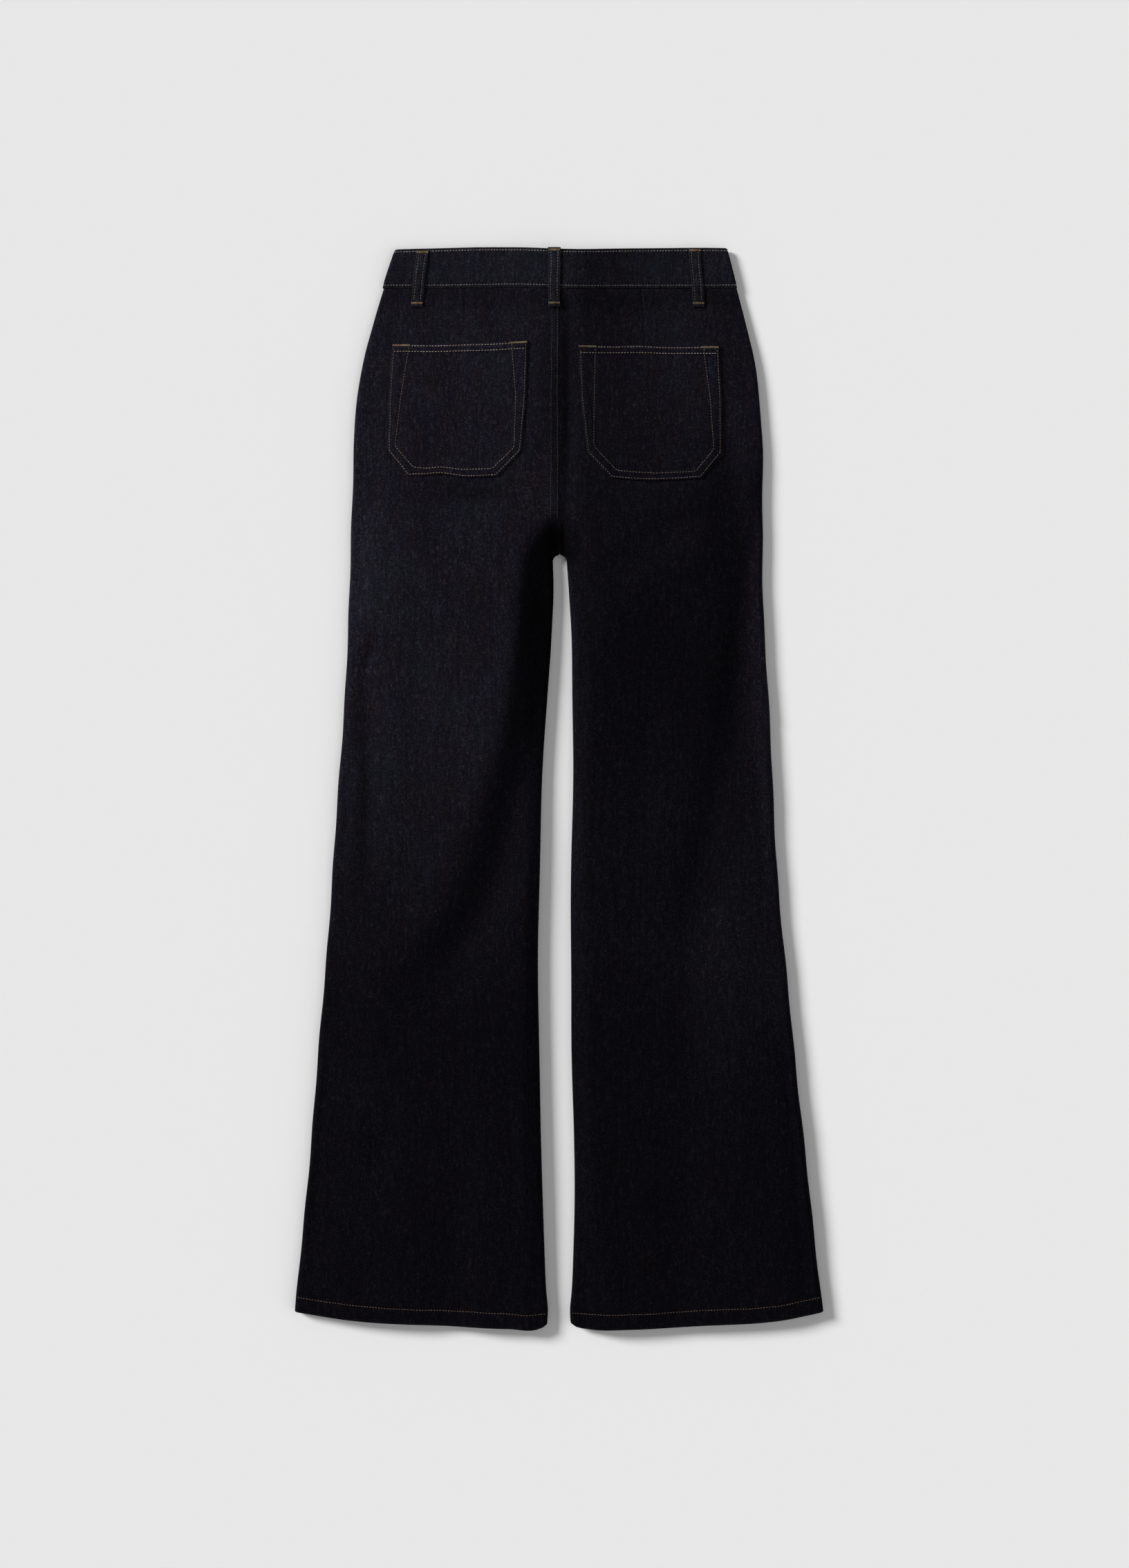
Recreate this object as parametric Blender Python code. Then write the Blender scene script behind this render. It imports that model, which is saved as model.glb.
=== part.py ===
"""Flared jeans laid flat with the back uppermost, each cut piece a thin closed solid.

The jeans lie on their front. The waist is towards +Y, the hems are towards -Y, the wearer's left
is towards -X, and the surface they rest on is z = 0. Every size below is in millimetres, and
add_piece() turns them into metres. A side of -1 is the wearer's left and +1 the wearer's right.
"""

from collections import namedtuple

import bmesh
import bpy
import numpy as np

MM = 0.001

# Cloth walls
DENIM = 1.2  # one layer
HEM_WALL = 2.4  # turned up, so two layers
BAND_WALL = 2.2  # a strip folded double
POCKET_WALL = 1.3
POCKET_HEM_WALL = 1.9
LOOP_WALL = 1.4
FLY_WALL = 2.2  # the left front with its facing
SEAM_GAP = 0.3  # between neighbouring pieces

# Lengths along the garment
WAIST_Y = 507.0  # lower edge of the waistband at the back
BAND_TOP_Y = 546.0
FOOT_Y = -547.0  # the lowest point of the hems
HEM_DEPTH = 16.0
FRONT_DIP = 14.0  # how much lower the front of the waist is than the back
FRONT_DIP_FLAT, FRONT_DIP_REACH = 37.5, 187.5
FRONT_DIP_FOOT_Y = 380.0  # the front's rows are level again here
POCKET_HEM_DEPTH = 8.0
LOOP_TOP_Y = 543.5
LOOP_OVERHANG = 19.0  # belt loop below the waistband
LOOP_WIDTH = 13.0
LOOP_SLACK = 0.5  # how far a loop bows out from the waistband

# The crotch, where the two legs part in a small round arch, and where the seat turns into legs
CROTCH_X = 0.5
CROTCH_Y = 228.5
CROTCH_RADIUS = 7.0
ARCH_TOP = CROTCH_Y + CROTCH_RADIUS
SEAT_FOOT_Y, SEAT_FADE = 262.0, 24.0

# The felled seat seam, whose lap belongs to the left back
SEAT_LAP = 10.0
SEAT_LAP_RISE = 0.8
SEAT_LAP_ROUND = 6.0  # how far from the arch it reaches its full height
LAP_STEP = 0.6

# The fly, whose left edge laps to the wearer's right
FLY_X = 8.0
FLY_WIDTH = 38.0
FLY_TOP_Y, FLY_FOOT_Y = 390.0, 300.0

# Heights of the waistband's outer faces, and how far its ends lap at the front
BAND_UNDER_Z = 1.9
BAND_OVER_Z = 6.9
LEFT_END_X, RIGHT_END_X = 17.0, -18.0
BAND_CORNER_DROP = 4.5  # the top edge slopes down to both sides
BAND_CORNER_FROM, BAND_CORNER_WIDTH = 130.0, 45.0
LAP_LIFT = 3.2  # the lapped ends and the button raise what lies above them
LAP_LIFT_FLAT, LAP_LIFT_REACH = 20.0, 75.0
LAP_LIFT_FOOT_Y, LAP_LIFT_RISE = 400.0, 95.0
BUTTON_LIFT, BUTTON_LIFT_REACH = 0.7, 25.0

BUTTON_RADIUS = 8.5
BUTTON_HEAD = 2.2

# Where the two edges of each leg run
Edges = namedtuple("Edges", "y left right")
SIDE_SEAMS = (
    Edges(-532, -267.4, 267.4),
    Edges(-462, -260.4, 258.3),
    Edges(-350, -250.6, 247.1),
    Edges(-238, -240.8, 234.5),
    Edges(-126, -232.4, 224.0),
    Edges(-14, -224.0, 216.3),
    Edges(98, -217.0, 211.4),
    Edges(210, -211.4, 205.5),
    Edges(276, -210.0, 205.1),
    Edges(350, -207.9, 205.8),
    Edges(392, -205.1, 203.0),
    Edges(434, -196.7, 196.7),
    Edges(476, -186.2, 186.9),
    Edges(507, -175.0, 178.0),
)
INSEAMS = (
    Edges(-547, -12.0, 11.0),
    Edges(-462, -15.4, 14.7),
    Edges(-350, -18.2, 14.5),
    Edges(-238, -21.0, 12.0),
    Edges(-70, -19.6, 12.2),
    Edges(42, -15.4, 14.0),
    Edges(98, -11.9, 13.3),
    Edges(154, -7.7, 12.0),
    Edges(206, -5.8, 9.1),
    Edges(228.5, -6.5, 7.5),
)

# The lower edge of both hems, from left to right
HemPoint = namedtuple("HemPoint", "x y")
HEM_LINE = (
    HemPoint(-268, -529.5),
    HemPoint(-212, -537.9),
    HemPoint(-117, -543.5),
    HemPoint(-34, -547.0),
    HemPoint(-12, -543.5),
    HemPoint(11, -541.0),
    HemPoint(26, -546.3),
    HemPoint(70, -547.0),
    HemPoint(141, -543.5),
    HemPoint(225, -537.9),
    HemPoint(268, -529.5),
)

# The laid garment's heights: underside of the front, side fold, top beside the fold, top of the
# crown, the width of the round at the side fold, and how far the slope beside an inseam reaches
Loft = namedtuple("Loft", "y belly fold rim crown roll inner_slope")
LOFTS = (
    Loft(-547, 0.0, 5.4, 10.4, 13.5, 5.5, 26),
    Loft(-430, 0.0, 5.6, 11.4, 17.0, 6.0, 22),
    Loft(-300, 0.0, 5.5, 11.2, 17.5, 6.0, 20),
    Loft(-150, 0.0, 5.2, 10.4, 16.5, 5.5, 16),
    Loft(0, 0.0, 5.0, 10.0, 16.0, 5.5, 16),
    Loft(150, 0.0, 4.8, 9.6, 16.0, 5.5, 30),
    Loft(300, 0.0, 4.5, 9.0, 16.5, 5.5, 40),
    Loft(400, 0.0, 4.3, 8.4, 14.5, 5.5, 40),
    Loft(475, 2.1, 4.3, 7.0, 9.0, 4.0, 40),
    Loft(507, 2.4, 4.4, 6.4, 6.4, 3.4, 40),
    Loft(546, 2.4, 4.4, 6.4, 6.4, 3.4, 40),
)
SIDE_SLOPE = 60.0  # how far the slope beside a side seam reaches
CREASE_FADE = 14.0  # the creases die out this near to an edge

# Pocket corners, as the edges nearer the seat seam and nearer the side seam at each height. Below
# and above the pocket the same two lines go on as columns of the back panel.
PocketEdges = namedtuple("PocketEdges", "y seat side")
POCKET_SIDES = {
    -1: (
        PocketEdges(-547, -95.0, -185.0),
        PocketEdges(0, -80.0, -160.0),
        PocketEdges(250, -66.0, -150.0),
        PocketEdges(316, -64.9, -152.0),
        PocketEdges(341, -38.5, -173.9),
        PocketEdges(451, -32.0, -169.2),
        PocketEdges(507, -33.0, -158.0),
    ),
    1: (
        PocketEdges(-547, 95.0, 185.0),
        PocketEdges(0, 80.0, 155.0),
        PocketEdges(250, 62.0, 142.0),
        PocketEdges(314, 53.7, 143.0),
        PocketEdges(339, 28.0, 164.9),
        PocketEdges(447, 19.4, 162.0),
        PocketEdges(507, 24.0, 158.0),
    ),
}
PocketRows = namedtuple("PocketRows", "bottom corner top top_slope bottom_sag")
POCKET_ROWS = {
    -1: PocketRows(316.0, 341.0, 451.5, 0.021, 0.0),
    1: PocketRows(314.0, 339.0, 447.2, 0.0, 2.5),
}

# The large soft creases of the back: a trough along a path, with a swell on one side of it
Crease = namedtuple("Crease", "depth width swell path")
Pass = namedtuple("Pass", "x y share")
CREASES = (
    # Left knee, from the inseam down and out across the leg
    Crease(3.2, 15, 1.8, (Pass(-14, 84, 0), Pass(-30, 48, 0.6), Pass(-60, -32, 1), Pass(-82, -112, 1),
                          Pass(-118, -161, 0.8), Pass(-172, -204, 0))),
    # Right thigh, beside the side seam
    Crease(3.6, 14, -1.6, (Pass(200, 300, 0), Pass(191, 220, 0.6), Pass(181, 140, 1), Pass(162, 0, 1),
                           Pass(137, -105, 0.5), Pass(120, -160, 0))),
    # Under the right seat
    Crease(2.4, 18, -1.8, (Pass(196, 400, 0), Pass(180, 340, 0.7), Pass(148, 280, 1), Pass(92, 246, 1),
                           Pass(40, 208, 0.6), Pass(22, 176, 0))),
    # Under the left seat
    Crease(1.6, 20, -0.8, (Pass(-186, 300, 0), Pass(-140, 280, 0.9), Pass(-90, 268, 1),
                           Pass(-30, 236, 0))),
    # Left hem, up the middle of the leg
    Crease(4.2, 26, 0.0, (Pass(-112, -560, 1), Pass(-110, -480, 0.8), Pass(-104, -390, 0.4),
                          Pass(-100, -290, 0))),
    # Right hem, beside the inseam
    Crease(3.8, 18, 0.0, (Pass(22, -560, 1), Pass(26, -500, 0.7), Pass(32, -400, 0))),
    # Right calf
    Crease(2.0, 24, 0.0, (Pass(112, -540, 0.6), Pass(120, -440, 1), Pass(104, -330, 0.7),
                          Pass(98, -240, 0))),
    # Left calf, towards the side seam
    Crease(1.8, 22, 0.0, (Pass(-206, -520, 0.6), Pass(-196, -400, 1), Pass(-186, -300, 0))),
)

BACK_ROWS_ABOVE = (496, 484, 470, 460)
SEAT_ROWS = (300, 284, 268, 254, 246)
CROTCH_ROUND = (1.0, 0.5, 0.134, 0.0)  # shares of the round's width above the crotch's arch
ARCH_ROWS = (234.2, 232.0, 228.5)
LEG_ROWS = (220, 208, 192, 172, 148, 122, 96, 68, 40, 10, -22, -54, -86, -118, -150, -184, -220, -258,
            -298, -338, -378, -416, -452, -484, -510)
FRONT_SEAT_ROWS = (484, 462, 435, 400, 360, 320, 290, 265, 250)
FRONT_LEG_ROWS = (218, 200, 170, 130, 80, 20, -50, -130, -220, -310, -400, -480)
ROUND_SHARES = (0.134, 0.5)  # columns inside the round at a fold
PANEL_STRIPS = (3, 6, 3)  # between the inner round, the pocket's two edges and the outer round
POCKET_COLUMNS = slice(6, 13)
POCKET_SAG_REACH, POCKET_TILT_REACH = 45.0, 70.0
FRONT_STRIPS = (6,)

# The waistband's folded sides, which lean in towards its top
BandSide = namedtuple("BandSide", "bottom_x top_x")
BAND_SIDES = {-1: BandSide(-177.0, -166.5), 1: BandSide(179.0, 170.0)}

Loop = namedtuple("Loop", "name top_x bottom_x")
BACK_LOOPS = (Loop("left", -138.3, -144.9), Loop("centre", -5.2, -5.0), Loop("right", 136.9, 141.4))
FRONT_LOOPS = (Loop("left", -104.0, -106.0), Loop("right", 104.0, 106.0))


def step(t):
    """0 below 0, 1 above 1, and a smooth rise between."""
    t = np.clip(t, 0, 1)
    return t * t * (3 - 2 * t)


def mix(a, b, share):
    return a + (b - a) * share


def through(knots, values, at):
    """The smooth curve through values at knots, read at `at`."""
    knots = np.asarray(knots, float)
    values = np.asarray(values, float)
    slopes = np.gradient(values, knots)
    at = np.clip(at, knots[0], knots[-1])
    i = np.clip(np.searchsorted(knots, at) - 1, 0, len(knots) - 2)
    span = knots[i + 1] - knots[i]
    t = (at - knots[i]) / span
    start = values[i] * (1 + 2 * t) * (1 - t) ** 2 + slopes[i] * span * t * (1 - t) ** 2
    end = values[i + 1] * t**2 * (3 - 2 * t) - slopes[i + 1] * span * t**2 * (1 - t)
    return start + end


def column(table, name):
    return [getattr(row, name) for row in table]


def read(table, name, y):
    return through(column(table, "y"), column(table, name), y)


def leg(side):
    return "left" if side < 0 else "right"


def side_seam_x(side, y):
    return read(SIDE_SEAMS, leg(side), y)


def inseam_x(side, y):
    """The inner edge of a leg, with the arch where the legs part."""
    below = read(INSEAMS, leg(side), y)
    rise = np.clip((y - CROTCH_Y) / CROTCH_RADIUS, 0, 1)
    arch = CROTCH_X + side * CROTCH_RADIUS * np.sqrt(1 - rise**2)
    return np.where(y >= CROTCH_Y, arch, below)


def front_seam_x(y):
    """The fly's edge, and below it the front crotch seam."""
    return mix(CROTCH_X, FLY_X, step((y - FLY_FOOT_Y) / (FLY_TOP_Y - FLY_FOOT_Y)))


def hem_y(x):
    return through(column(HEM_LINE, "x"), column(HEM_LINE, "y"), x)


def front_dip(x):
    return FRONT_DIP * step((FRONT_DIP_REACH - np.abs(x)) / (FRONT_DIP_REACH - FRONT_DIP_FLAT))


def on_leg(y):
    """0 on the seat and 1 on the leg."""
    return step((SEAT_FOOT_Y - y) / SEAT_FADE)


def edge_distances(side, x, y):
    """How far a point is from its side seam and from its inseam or the crotch's arch."""
    outer = side * (side_seam_x(side, y) - x)
    leg_inner = side * (x - inseam_x(side, y))
    arch = np.hypot(x - CROTCH_X, y - CROTCH_Y) - CROTCH_RADIUS
    inner = np.where(y >= CROTCH_Y, arch, leg_inner)
    return np.maximum(outer, 0), np.maximum(inner, 0)


def quarter_round(t):
    return np.sqrt(1 - (1 - np.clip(t, 0, 1)) ** 2)


def crease(form, x, y):
    """The height that one crease adds at each point, negative in its trough."""
    run = np.linspace(0, len(form.path) - 1, 25)
    knots = range(len(form.path))
    px, py, share = (through(knots, column(form.path, name), run) for name in Pass._fields)
    best = np.full(np.shape(x), np.inf)
    across = np.zeros(np.shape(x))
    strength = np.zeros(np.shape(x))
    for i in range(len(run) - 1):
        dx, dy = px[i + 1] - px[i], py[i + 1] - py[i]
        length = np.hypot(dx, dy)
        t = np.clip(((x - px[i]) * dx + (y - py[i]) * dy) / length**2, 0, 1)
        away = np.hypot(x - px[i] - t * dx, y - py[i] - t * dy)
        turn = np.sign(dx * (y - py[i]) - dy * (x - px[i]))
        nearer = away < best
        best = np.where(nearer, away, best)
        across = np.where(nearer, away * turn, across)
        strength = np.where(nearer, mix(share[i], share[i + 1], t), strength)
    trough = form.depth * np.exp(-((best / form.width) ** 2))
    swell_at = -np.sign(form.swell) * 2 * form.width
    swell = abs(form.swell) * np.exp(-(((across - swell_at) / (1.3 * form.width)) ** 2))
    return (swell - trough) * strength


def lap_lift(x, y):
    """The rise over the lapped ends of the waistband, dying out down the seat."""
    share = (LAP_LIFT_REACH - np.abs(x)) / (LAP_LIFT_REACH - LAP_LIFT_FLAT)
    return LAP_LIFT * step(share) * step((y - LAP_LIFT_FOOT_Y) / LAP_LIFT_RISE)


def back_height(side, x, y):
    """The top of the back panel above the surface that the jeans lie on."""
    outer, inner = edge_distances(side, x, y)
    nearest = np.minimum(outer, inner)
    fold, rim, crown = (read(LOFTS, name, y) for name in ("fold", "rim", "crown"))
    height = fold + (rim - fold) * quarter_round(nearest / read(LOFTS, "roll", y))
    height += (crown - rim) * step(outer / SIDE_SLOPE) * step(inner / read(LOFTS, "inner_slope", y))
    folds = sum(crease(form, x, y) for form in CREASES)
    return height + folds * step(nearest / CREASE_FADE) + lap_lift(x, y)


def front_height(side, x, y):
    """The underside of the front panel, flat but for its rounds and the lift at the waist."""
    nearest = np.minimum(*edge_distances(side, x, y))
    belly = np.maximum(read(LOFTS, "belly", y), 0)
    fold = read(LOFTS, "fold", y)
    height = fold - (fold - belly) * quarter_round(nearest / read(LOFTS, "roll", y))
    return height + (lap_lift(x, y + front_dip(x)) if side > 0 else 0)


def lay_columns(inner, outer, inner_round, outer_round, stops, counts):
    """Columns from an inner to an outer edge, crowded into the rounds, evenly between the stops."""
    lines = [inner] + [mix(inner, inner_round, share) for share in ROUND_SHARES]
    stops = [inner_round, *stops, outer_round]
    for start, end, count in zip(stops, stops[1:], counts):
        lines += [mix(start, end, i / count) for i in range(count)]
    lines += [outer_round] + [mix(outer, outer_round, share) for share in ROUND_SHARES[::-1]]
    return lines + [outer]


def inner_edge_x(side, seam_x, y):
    """A panel's inner edge: the seam with its neighbour, and below the crotch the inseam."""
    beside_seam = seam_x + side * SEAM_GAP / 2
    beside_inseam = side * np.maximum(side * inseam_x(side, y), side * beside_seam)
    return np.where(y > ARCH_TOP, beside_seam, beside_inseam)


def back_columns(side, y):
    """The x of every column of a back panel at the heights y."""
    inner = inner_edge_x(side, CROTCH_X, y)
    roll = read(LOFTS, "roll", y)
    outer = side_seam_x(side, y)
    inner_round = inner + side * mix(SEAT_LAP + LAP_STEP, roll, on_leg(y))
    table = POCKET_SIDES[side]
    pocket = [np.interp(y, column(table, "y"), column(table, edge)) for edge in ("seat", "side")]
    lines = lay_columns(inner, outer, inner_round, outer - side * roll, pocket, PANEL_STRIPS)
    lines[1] = mix(inner + side * SEAT_LAP / 2, lines[1], on_leg(y))
    lines[2] = mix(inner + side * SEAT_LAP, lines[2], on_leg(y))
    return lines


def front_columns(side, y):
    """The x of every column of a front panel at the heights y."""
    inner = inner_edge_x(side, front_seam_x(y), y)
    roll = read(LOFTS, "roll", y)
    outer = side_seam_x(side, y)
    inner_round = inner + side * mix(FLY_WIDTH, roll, on_leg(y))
    return lay_columns(inner, outer, inner_round, outer - side * roll, [], FRONT_STRIPS)


def lay_grid(row_heights, columns, row_shift):
    """x and y of a panel's points, and which of them are on a folded edge. Rows bend to the hem and
    the pocket, columns to the seams."""
    base = np.array(row_heights, float)[:, None] + np.zeros(len(columns(np.zeros(1))))
    y = base
    for _ in range(4):
        x = np.stack([line[:, i] for i, line in enumerate(columns(y))], axis=1)
        y = base + row_shift(x, base)
    on_fold = np.zeros(x.shape, bool)
    on_fold[:, -1] = True
    on_fold[base[:, 0] <= ARCH_TOP, 0] = True
    return x, y, on_fold


def to_hem(x, y):
    """Bends the leg's rows to the hem line, less and less further up."""
    share = np.clip((CROTCH_Y - y) / (CROTCH_Y - FOOT_Y), 0, 1)
    return (hem_y(x) - FOOT_Y) * share**3


def grid_normals(points, up, side):
    """Unit normals of a grid of points, on the side that `up` gives."""
    across = np.gradient(points, axis=1)
    along = np.gradient(points, axis=0)
    normals = np.cross(across, along)
    normals *= np.sign(normals[..., 2:] * up + 1e-12)
    # At a fold the cloth stands upright, at the seat or fly seam it meets its neighbour squarely
    normals[:, -1] = (side, 0, 0)
    x, y = points[:, 0, 0], points[:, 0, 1]
    in_arch = (y >= CROTCH_Y) & (y <= ARCH_TOP + 1e-6)
    normals[y < CROTCH_Y, 0] = (-side, 0, 0)
    normals[in_arch, 0] = np.stack([CROTCH_X - x, CROTCH_Y - y, 0 * x], axis=1)[in_arch]
    normals[y > ARCH_TOP + 1e-6, 0, 0] = 0
    normals[[0, -1], :, 1] = 0
    return normals / np.linalg.norm(normals, axis=2, keepdims=True)


def layer_triangles(rows, columns, start, flipped):
    """Triangles over a grid of points, with the same diagonals for every layer."""
    faces = []
    for r in range(rows - 1):
        for c in range(columns - 1):
            a = start + r * columns + c
            b, d, e = a + 1, a + columns, a + columns + 1
            faces += [(a, d, b), (b, d, e)] if flipped else [(a, b, d), (b, e, d)]
    return faces


def solid_between(name, outside, inside, material):
    """A closed solid between two grids that have the same rows and columns."""
    rows, columns = outside.shape[:2]
    count = rows * columns
    faces = layer_triangles(rows, columns, 0, False) + layer_triangles(rows, columns, count, True)
    top = list(range(columns))
    right = [r * columns + columns - 1 for r in range(1, rows)]
    bottom = [(rows - 1) * columns + c for c in range(columns - 2, -1, -1)]
    left = [r * columns for r in range(rows - 2, 0, -1)]
    rim = top + right + bottom + left
    for a, b in zip(rim, rim[1:] + rim[:1]):
        faces += [(a, a + count, b), (b, a + count, b + count)]
    points = np.concatenate([outside.reshape(-1, 3), inside.reshape(-1, 3)])
    return add_piece(name, points, faces, material)


def add_piece(name, points, faces, material):
    """A closed mesh object from millimetres, with its faces turned outwards."""
    mesh = bpy.data.meshes.new(name)
    mesh.from_pydata([tuple(point) for point in np.asarray(points) * MM], [], faces)
    shape = bmesh.new()
    shape.from_mesh(mesh)
    bmesh.ops.recalc_face_normals(shape, faces=shape.faces)
    shape.to_mesh(mesh)
    shape.free()
    mesh.shade_smooth()
    mesh.set_sharp_from_angle(angle=0.7)
    mesh.materials.append(material)
    piece = bpy.data.objects.new(name, mesh)
    bpy.context.scene.collection.objects.link(piece)
    return piece


def make_material(name, colour, roughness, metallic=0.0):
    material = bpy.data.materials.new(name)
    material.use_nodes = True
    shader = material.node_tree.nodes["Principled BSDF"]
    shader.inputs["Base Color"].default_value = (*colour, 1)
    shader.inputs["Roughness"].default_value = roughness
    shader.inputs["Metallic"].default_value = metallic
    return material


def back_panel(side, denim):
    """One back, from the waistband to the hem. Returns its top points and their normals."""
    pocket = POCKET_ROWS[side]
    roll = read(LOFTS, "roll", ARCH_TOP)
    rows = [WAIST_Y - SEAM_GAP, *BACK_ROWS_ABOVE]
    first_pocket_row = len(rows)
    rows += [pocket.top, pocket.top - POCKET_HEM_DEPTH, pocket.top - POCKET_HEM_DEPTH - LAP_STEP]
    rows += list(np.linspace(pocket.top - POCKET_HEM_DEPTH, pocket.corner, 5)[1:])
    rows += [mix(pocket.corner, pocket.bottom, 0.5), pocket.bottom]
    last_pocket_row = len(rows)
    rows += [*SEAT_ROWS, *(ARCH_TOP + roll * share for share in CROTCH_ROUND), *ARCH_ROWS, *LEG_ROWS]
    hem_row = len(rows)
    rows += [FOOT_Y + HEM_DEPTH + LAP_STEP, FOOT_Y + HEM_DEPTH, FOOT_Y]
    corners = POCKET_SIDES[side][4]
    middle = (corners.seat + corners.side) / 2

    def shift(x, y):
        top = np.abs(y - pocket.top) < POCKET_HEM_DEPTH + 1
        bottom = y == pocket.bottom
        sag = np.clip(1 - ((x - middle) / POCKET_SAG_REACH) ** 2, 0, 1)
        tilt = pocket.top_slope * np.clip(x - middle, -POCKET_TILT_REACH, POCKET_TILT_REACH)
        return to_hem(x, y) + tilt * top - pocket.bottom_sag * sag * bottom

    x, y, on_fold = lay_grid(rows, lambda at: back_columns(side, at), shift)
    z = np.where(on_fold, read(LOFTS, "fold", y) + SEAM_GAP / 2, back_height(side, x, y))
    outside = np.stack([x, y, z], axis=2)
    normals = grid_normals(outside, 1, side)
    wall = np.full(len(rows), DENIM)
    wall[hem_row + 1 :] = HEM_WALL
    inside = outside - normals * wall[:, None, None]
    if side < 0:
        inner = edge_distances(side, x, y)[1]
        raised = SEAT_LAP_RISE * step(inner / SEAT_LAP_ROUND) * (1 - on_leg(y))
        outside[:, :3] += (normals * raised[..., None])[:, :3]
    solid_between(f"back_panel_{leg(side)}", outside, inside, denim)
    pocket_rows = slice(first_pocket_row, last_pocket_row)
    return outside[pocket_rows, POCKET_COLUMNS], normals[pocket_rows, POCKET_COLUMNS]


def back_pocket(side, denim, under, normals):
    """A patch pocket that lies on its back panel, thicker along its turned top hem."""
    wall = np.full(len(under), POCKET_WALL)
    wall[:2] = POCKET_HEM_WALL
    inside = under + normals * SEAM_GAP
    outside = inside + normals * wall[:, None, None]
    solid_between(f"back_pocket_{leg(side)}", outside, inside, denim)


def front_panel(side, denim):
    """One front, flat on the surface, with its top edge dipping towards the fly."""
    roll = read(LOFTS, "roll", ARCH_TOP)
    rows = [WAIST_Y - SEAM_GAP, *FRONT_SEAT_ROWS]
    rows += [*(ARCH_TOP + roll * share for share in CROTCH_ROUND), *ARCH_ROWS, *FRONT_LEG_ROWS]
    hem_row = len(rows)
    rows += [FOOT_Y + HEM_DEPTH + LAP_STEP, FOOT_Y + HEM_DEPTH, FOOT_Y]

    def shift(x, y):
        dipping = step((y - FRONT_DIP_FOOT_Y) / (WAIST_Y - SEAM_GAP - FRONT_DIP_FOOT_Y))
        return to_hem(x, y) - front_dip(x) * dipping

    x, y, on_fold = lay_grid(rows, lambda at: front_columns(side, at), shift)
    z = np.where(on_fold, read(LOFTS, "fold", y) - SEAM_GAP / 2, front_height(side, x, y))
    outside = np.stack([x, y, z], axis=2)
    normals = grid_normals(outside, -1, side)
    wall = np.full(x.shape, DENIM)
    wall[hem_row + 1 :] = HEM_WALL
    if side < 0:
        wall[y > FLY_FOOT_Y] += ((FLY_WALL - DENIM) * (FLY_X - x < FLY_WIDTH))[y > FLY_FOOT_Y]
    inside = outside - normals * wall[..., None]
    solid_between(f"front_panel_{leg(side)}", outside, inside, denim)


def band_over_z(x):
    return BAND_OVER_Z + lap_lift(x, BAND_TOP_Y)


def waistband(denim):
    """One strip, folded at both sides, with its ends lapped at the centre front."""
    fold_radius = (BAND_OVER_Z - BAND_UNDER_Z) / 2
    turn = np.linspace(0, np.pi, 7)[1:-1]
    rings = []
    for height in (0, 0.5, 1):
        level = mix(WAIST_Y, BAND_TOP_Y, height)
        left = mix(*BAND_SIDES[-1], height) + fold_radius
        right = mix(*BAND_SIDES[1], height) - fold_radius
        fold_z = BAND_UNDER_Z + fold_radius
        below_left = [(x, BAND_UNDER_Z + BUTTON_LIFT * step(2 - abs(x) / BUTTON_LIFT_REACH))
                      for x in np.linspace(LEFT_END_X, left, 12)]
        left_fold = [(left - fold_radius * np.sin(a), fold_z - fold_radius * np.cos(a)) for a in turn]
        above = [(x, band_over_z(x)) for x in np.linspace(left, right, 25)]
        right_fold = [(right + fold_radius * np.sin(a), fold_z + fold_radius * np.cos(a)) for a in turn]
        below_right = [(x, BAND_UNDER_Z + lap_lift(x, BAND_TOP_Y))
                       for x in np.linspace(right, RIGHT_END_X, 14)]
        ring = np.array(below_left + left_fold + above + right_fold + below_right)
        under = np.ones(len(ring))
        under[len(below_left) : len(below_left + left_fold + above)] = 0
        under[len(below_left + left_fold + above + right_fold) :] = 1
        corner = step((np.abs(ring[:, 0]) - BAND_CORNER_FROM) / BAND_CORNER_WIDTH) * (height == 1)
        y = level - front_dip(ring[:, 0]) * under - BAND_CORNER_DROP * corner
        rings.append(np.stack([ring[:, 0], y, ring[:, 1]], axis=1))
    outside = np.stack(rings)
    path = np.gradient(outside[0][:, [0, 2]], axis=0)
    path /= np.linalg.norm(path, axis=1, keepdims=True)
    inward = np.stack([path[:, 1], 0 * path[:, 0], -path[:, 0]], axis=1)
    inward[[0, -1]] = ((0, 0, 1), (0, 0, 1))
    solid_between("waistband", outside, outside + inward * BAND_WALL, denim)


def belt_loop(name, denim, top, bottom, under_z, wall):
    """A flat strip over the waistband. `top` and `bottom` are the middles of its two ends, and
    under_z gives the height of the face that lies against the garment."""
    rows = []
    for share in np.linspace(0, 1, 9):
        x, y = mix(np.array(top), np.array(bottom), share)
        half = LOOP_WIDTH / 2
        z = max(under_z(x + reach, y) for reach in (-half, 0, half)) if wall > 0 else \
            min(under_z(x + reach, y) for reach in (-half, 0, half))
        rows.append([(x - half, y, z), (x, y, z), (x + half, y, z)])
    inside = np.array(rows)
    solid_between(name, inside + np.array((0, 0, wall)), inside, denim)


def back_loop_z(x, y):
    """Where the underside of a loop lies: on the waistband, then down onto the panel."""
    side = -1 if x < CROTCH_X else 1
    panel = back_height(side, np.array(x), np.array(y)) + SEAT_LAP_RISE * (abs(x) < 2 * SEAT_LAP)
    on_band = step((y - (WAIST_Y - 12)) / 10)
    slack = LOOP_SLACK * np.sin(np.pi * np.clip((y - WAIST_Y) / (BAND_TOP_Y - WAIST_Y), 0, 1))
    return float(mix(panel, band_over_z(x), on_band) + SEAM_GAP + 0.2 + slack)


def front_loop_z(_x, _y):
    """The face of a front loop that lies against the waistband, which is level there."""
    return BAND_UNDER_Z - SEAM_GAP


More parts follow.
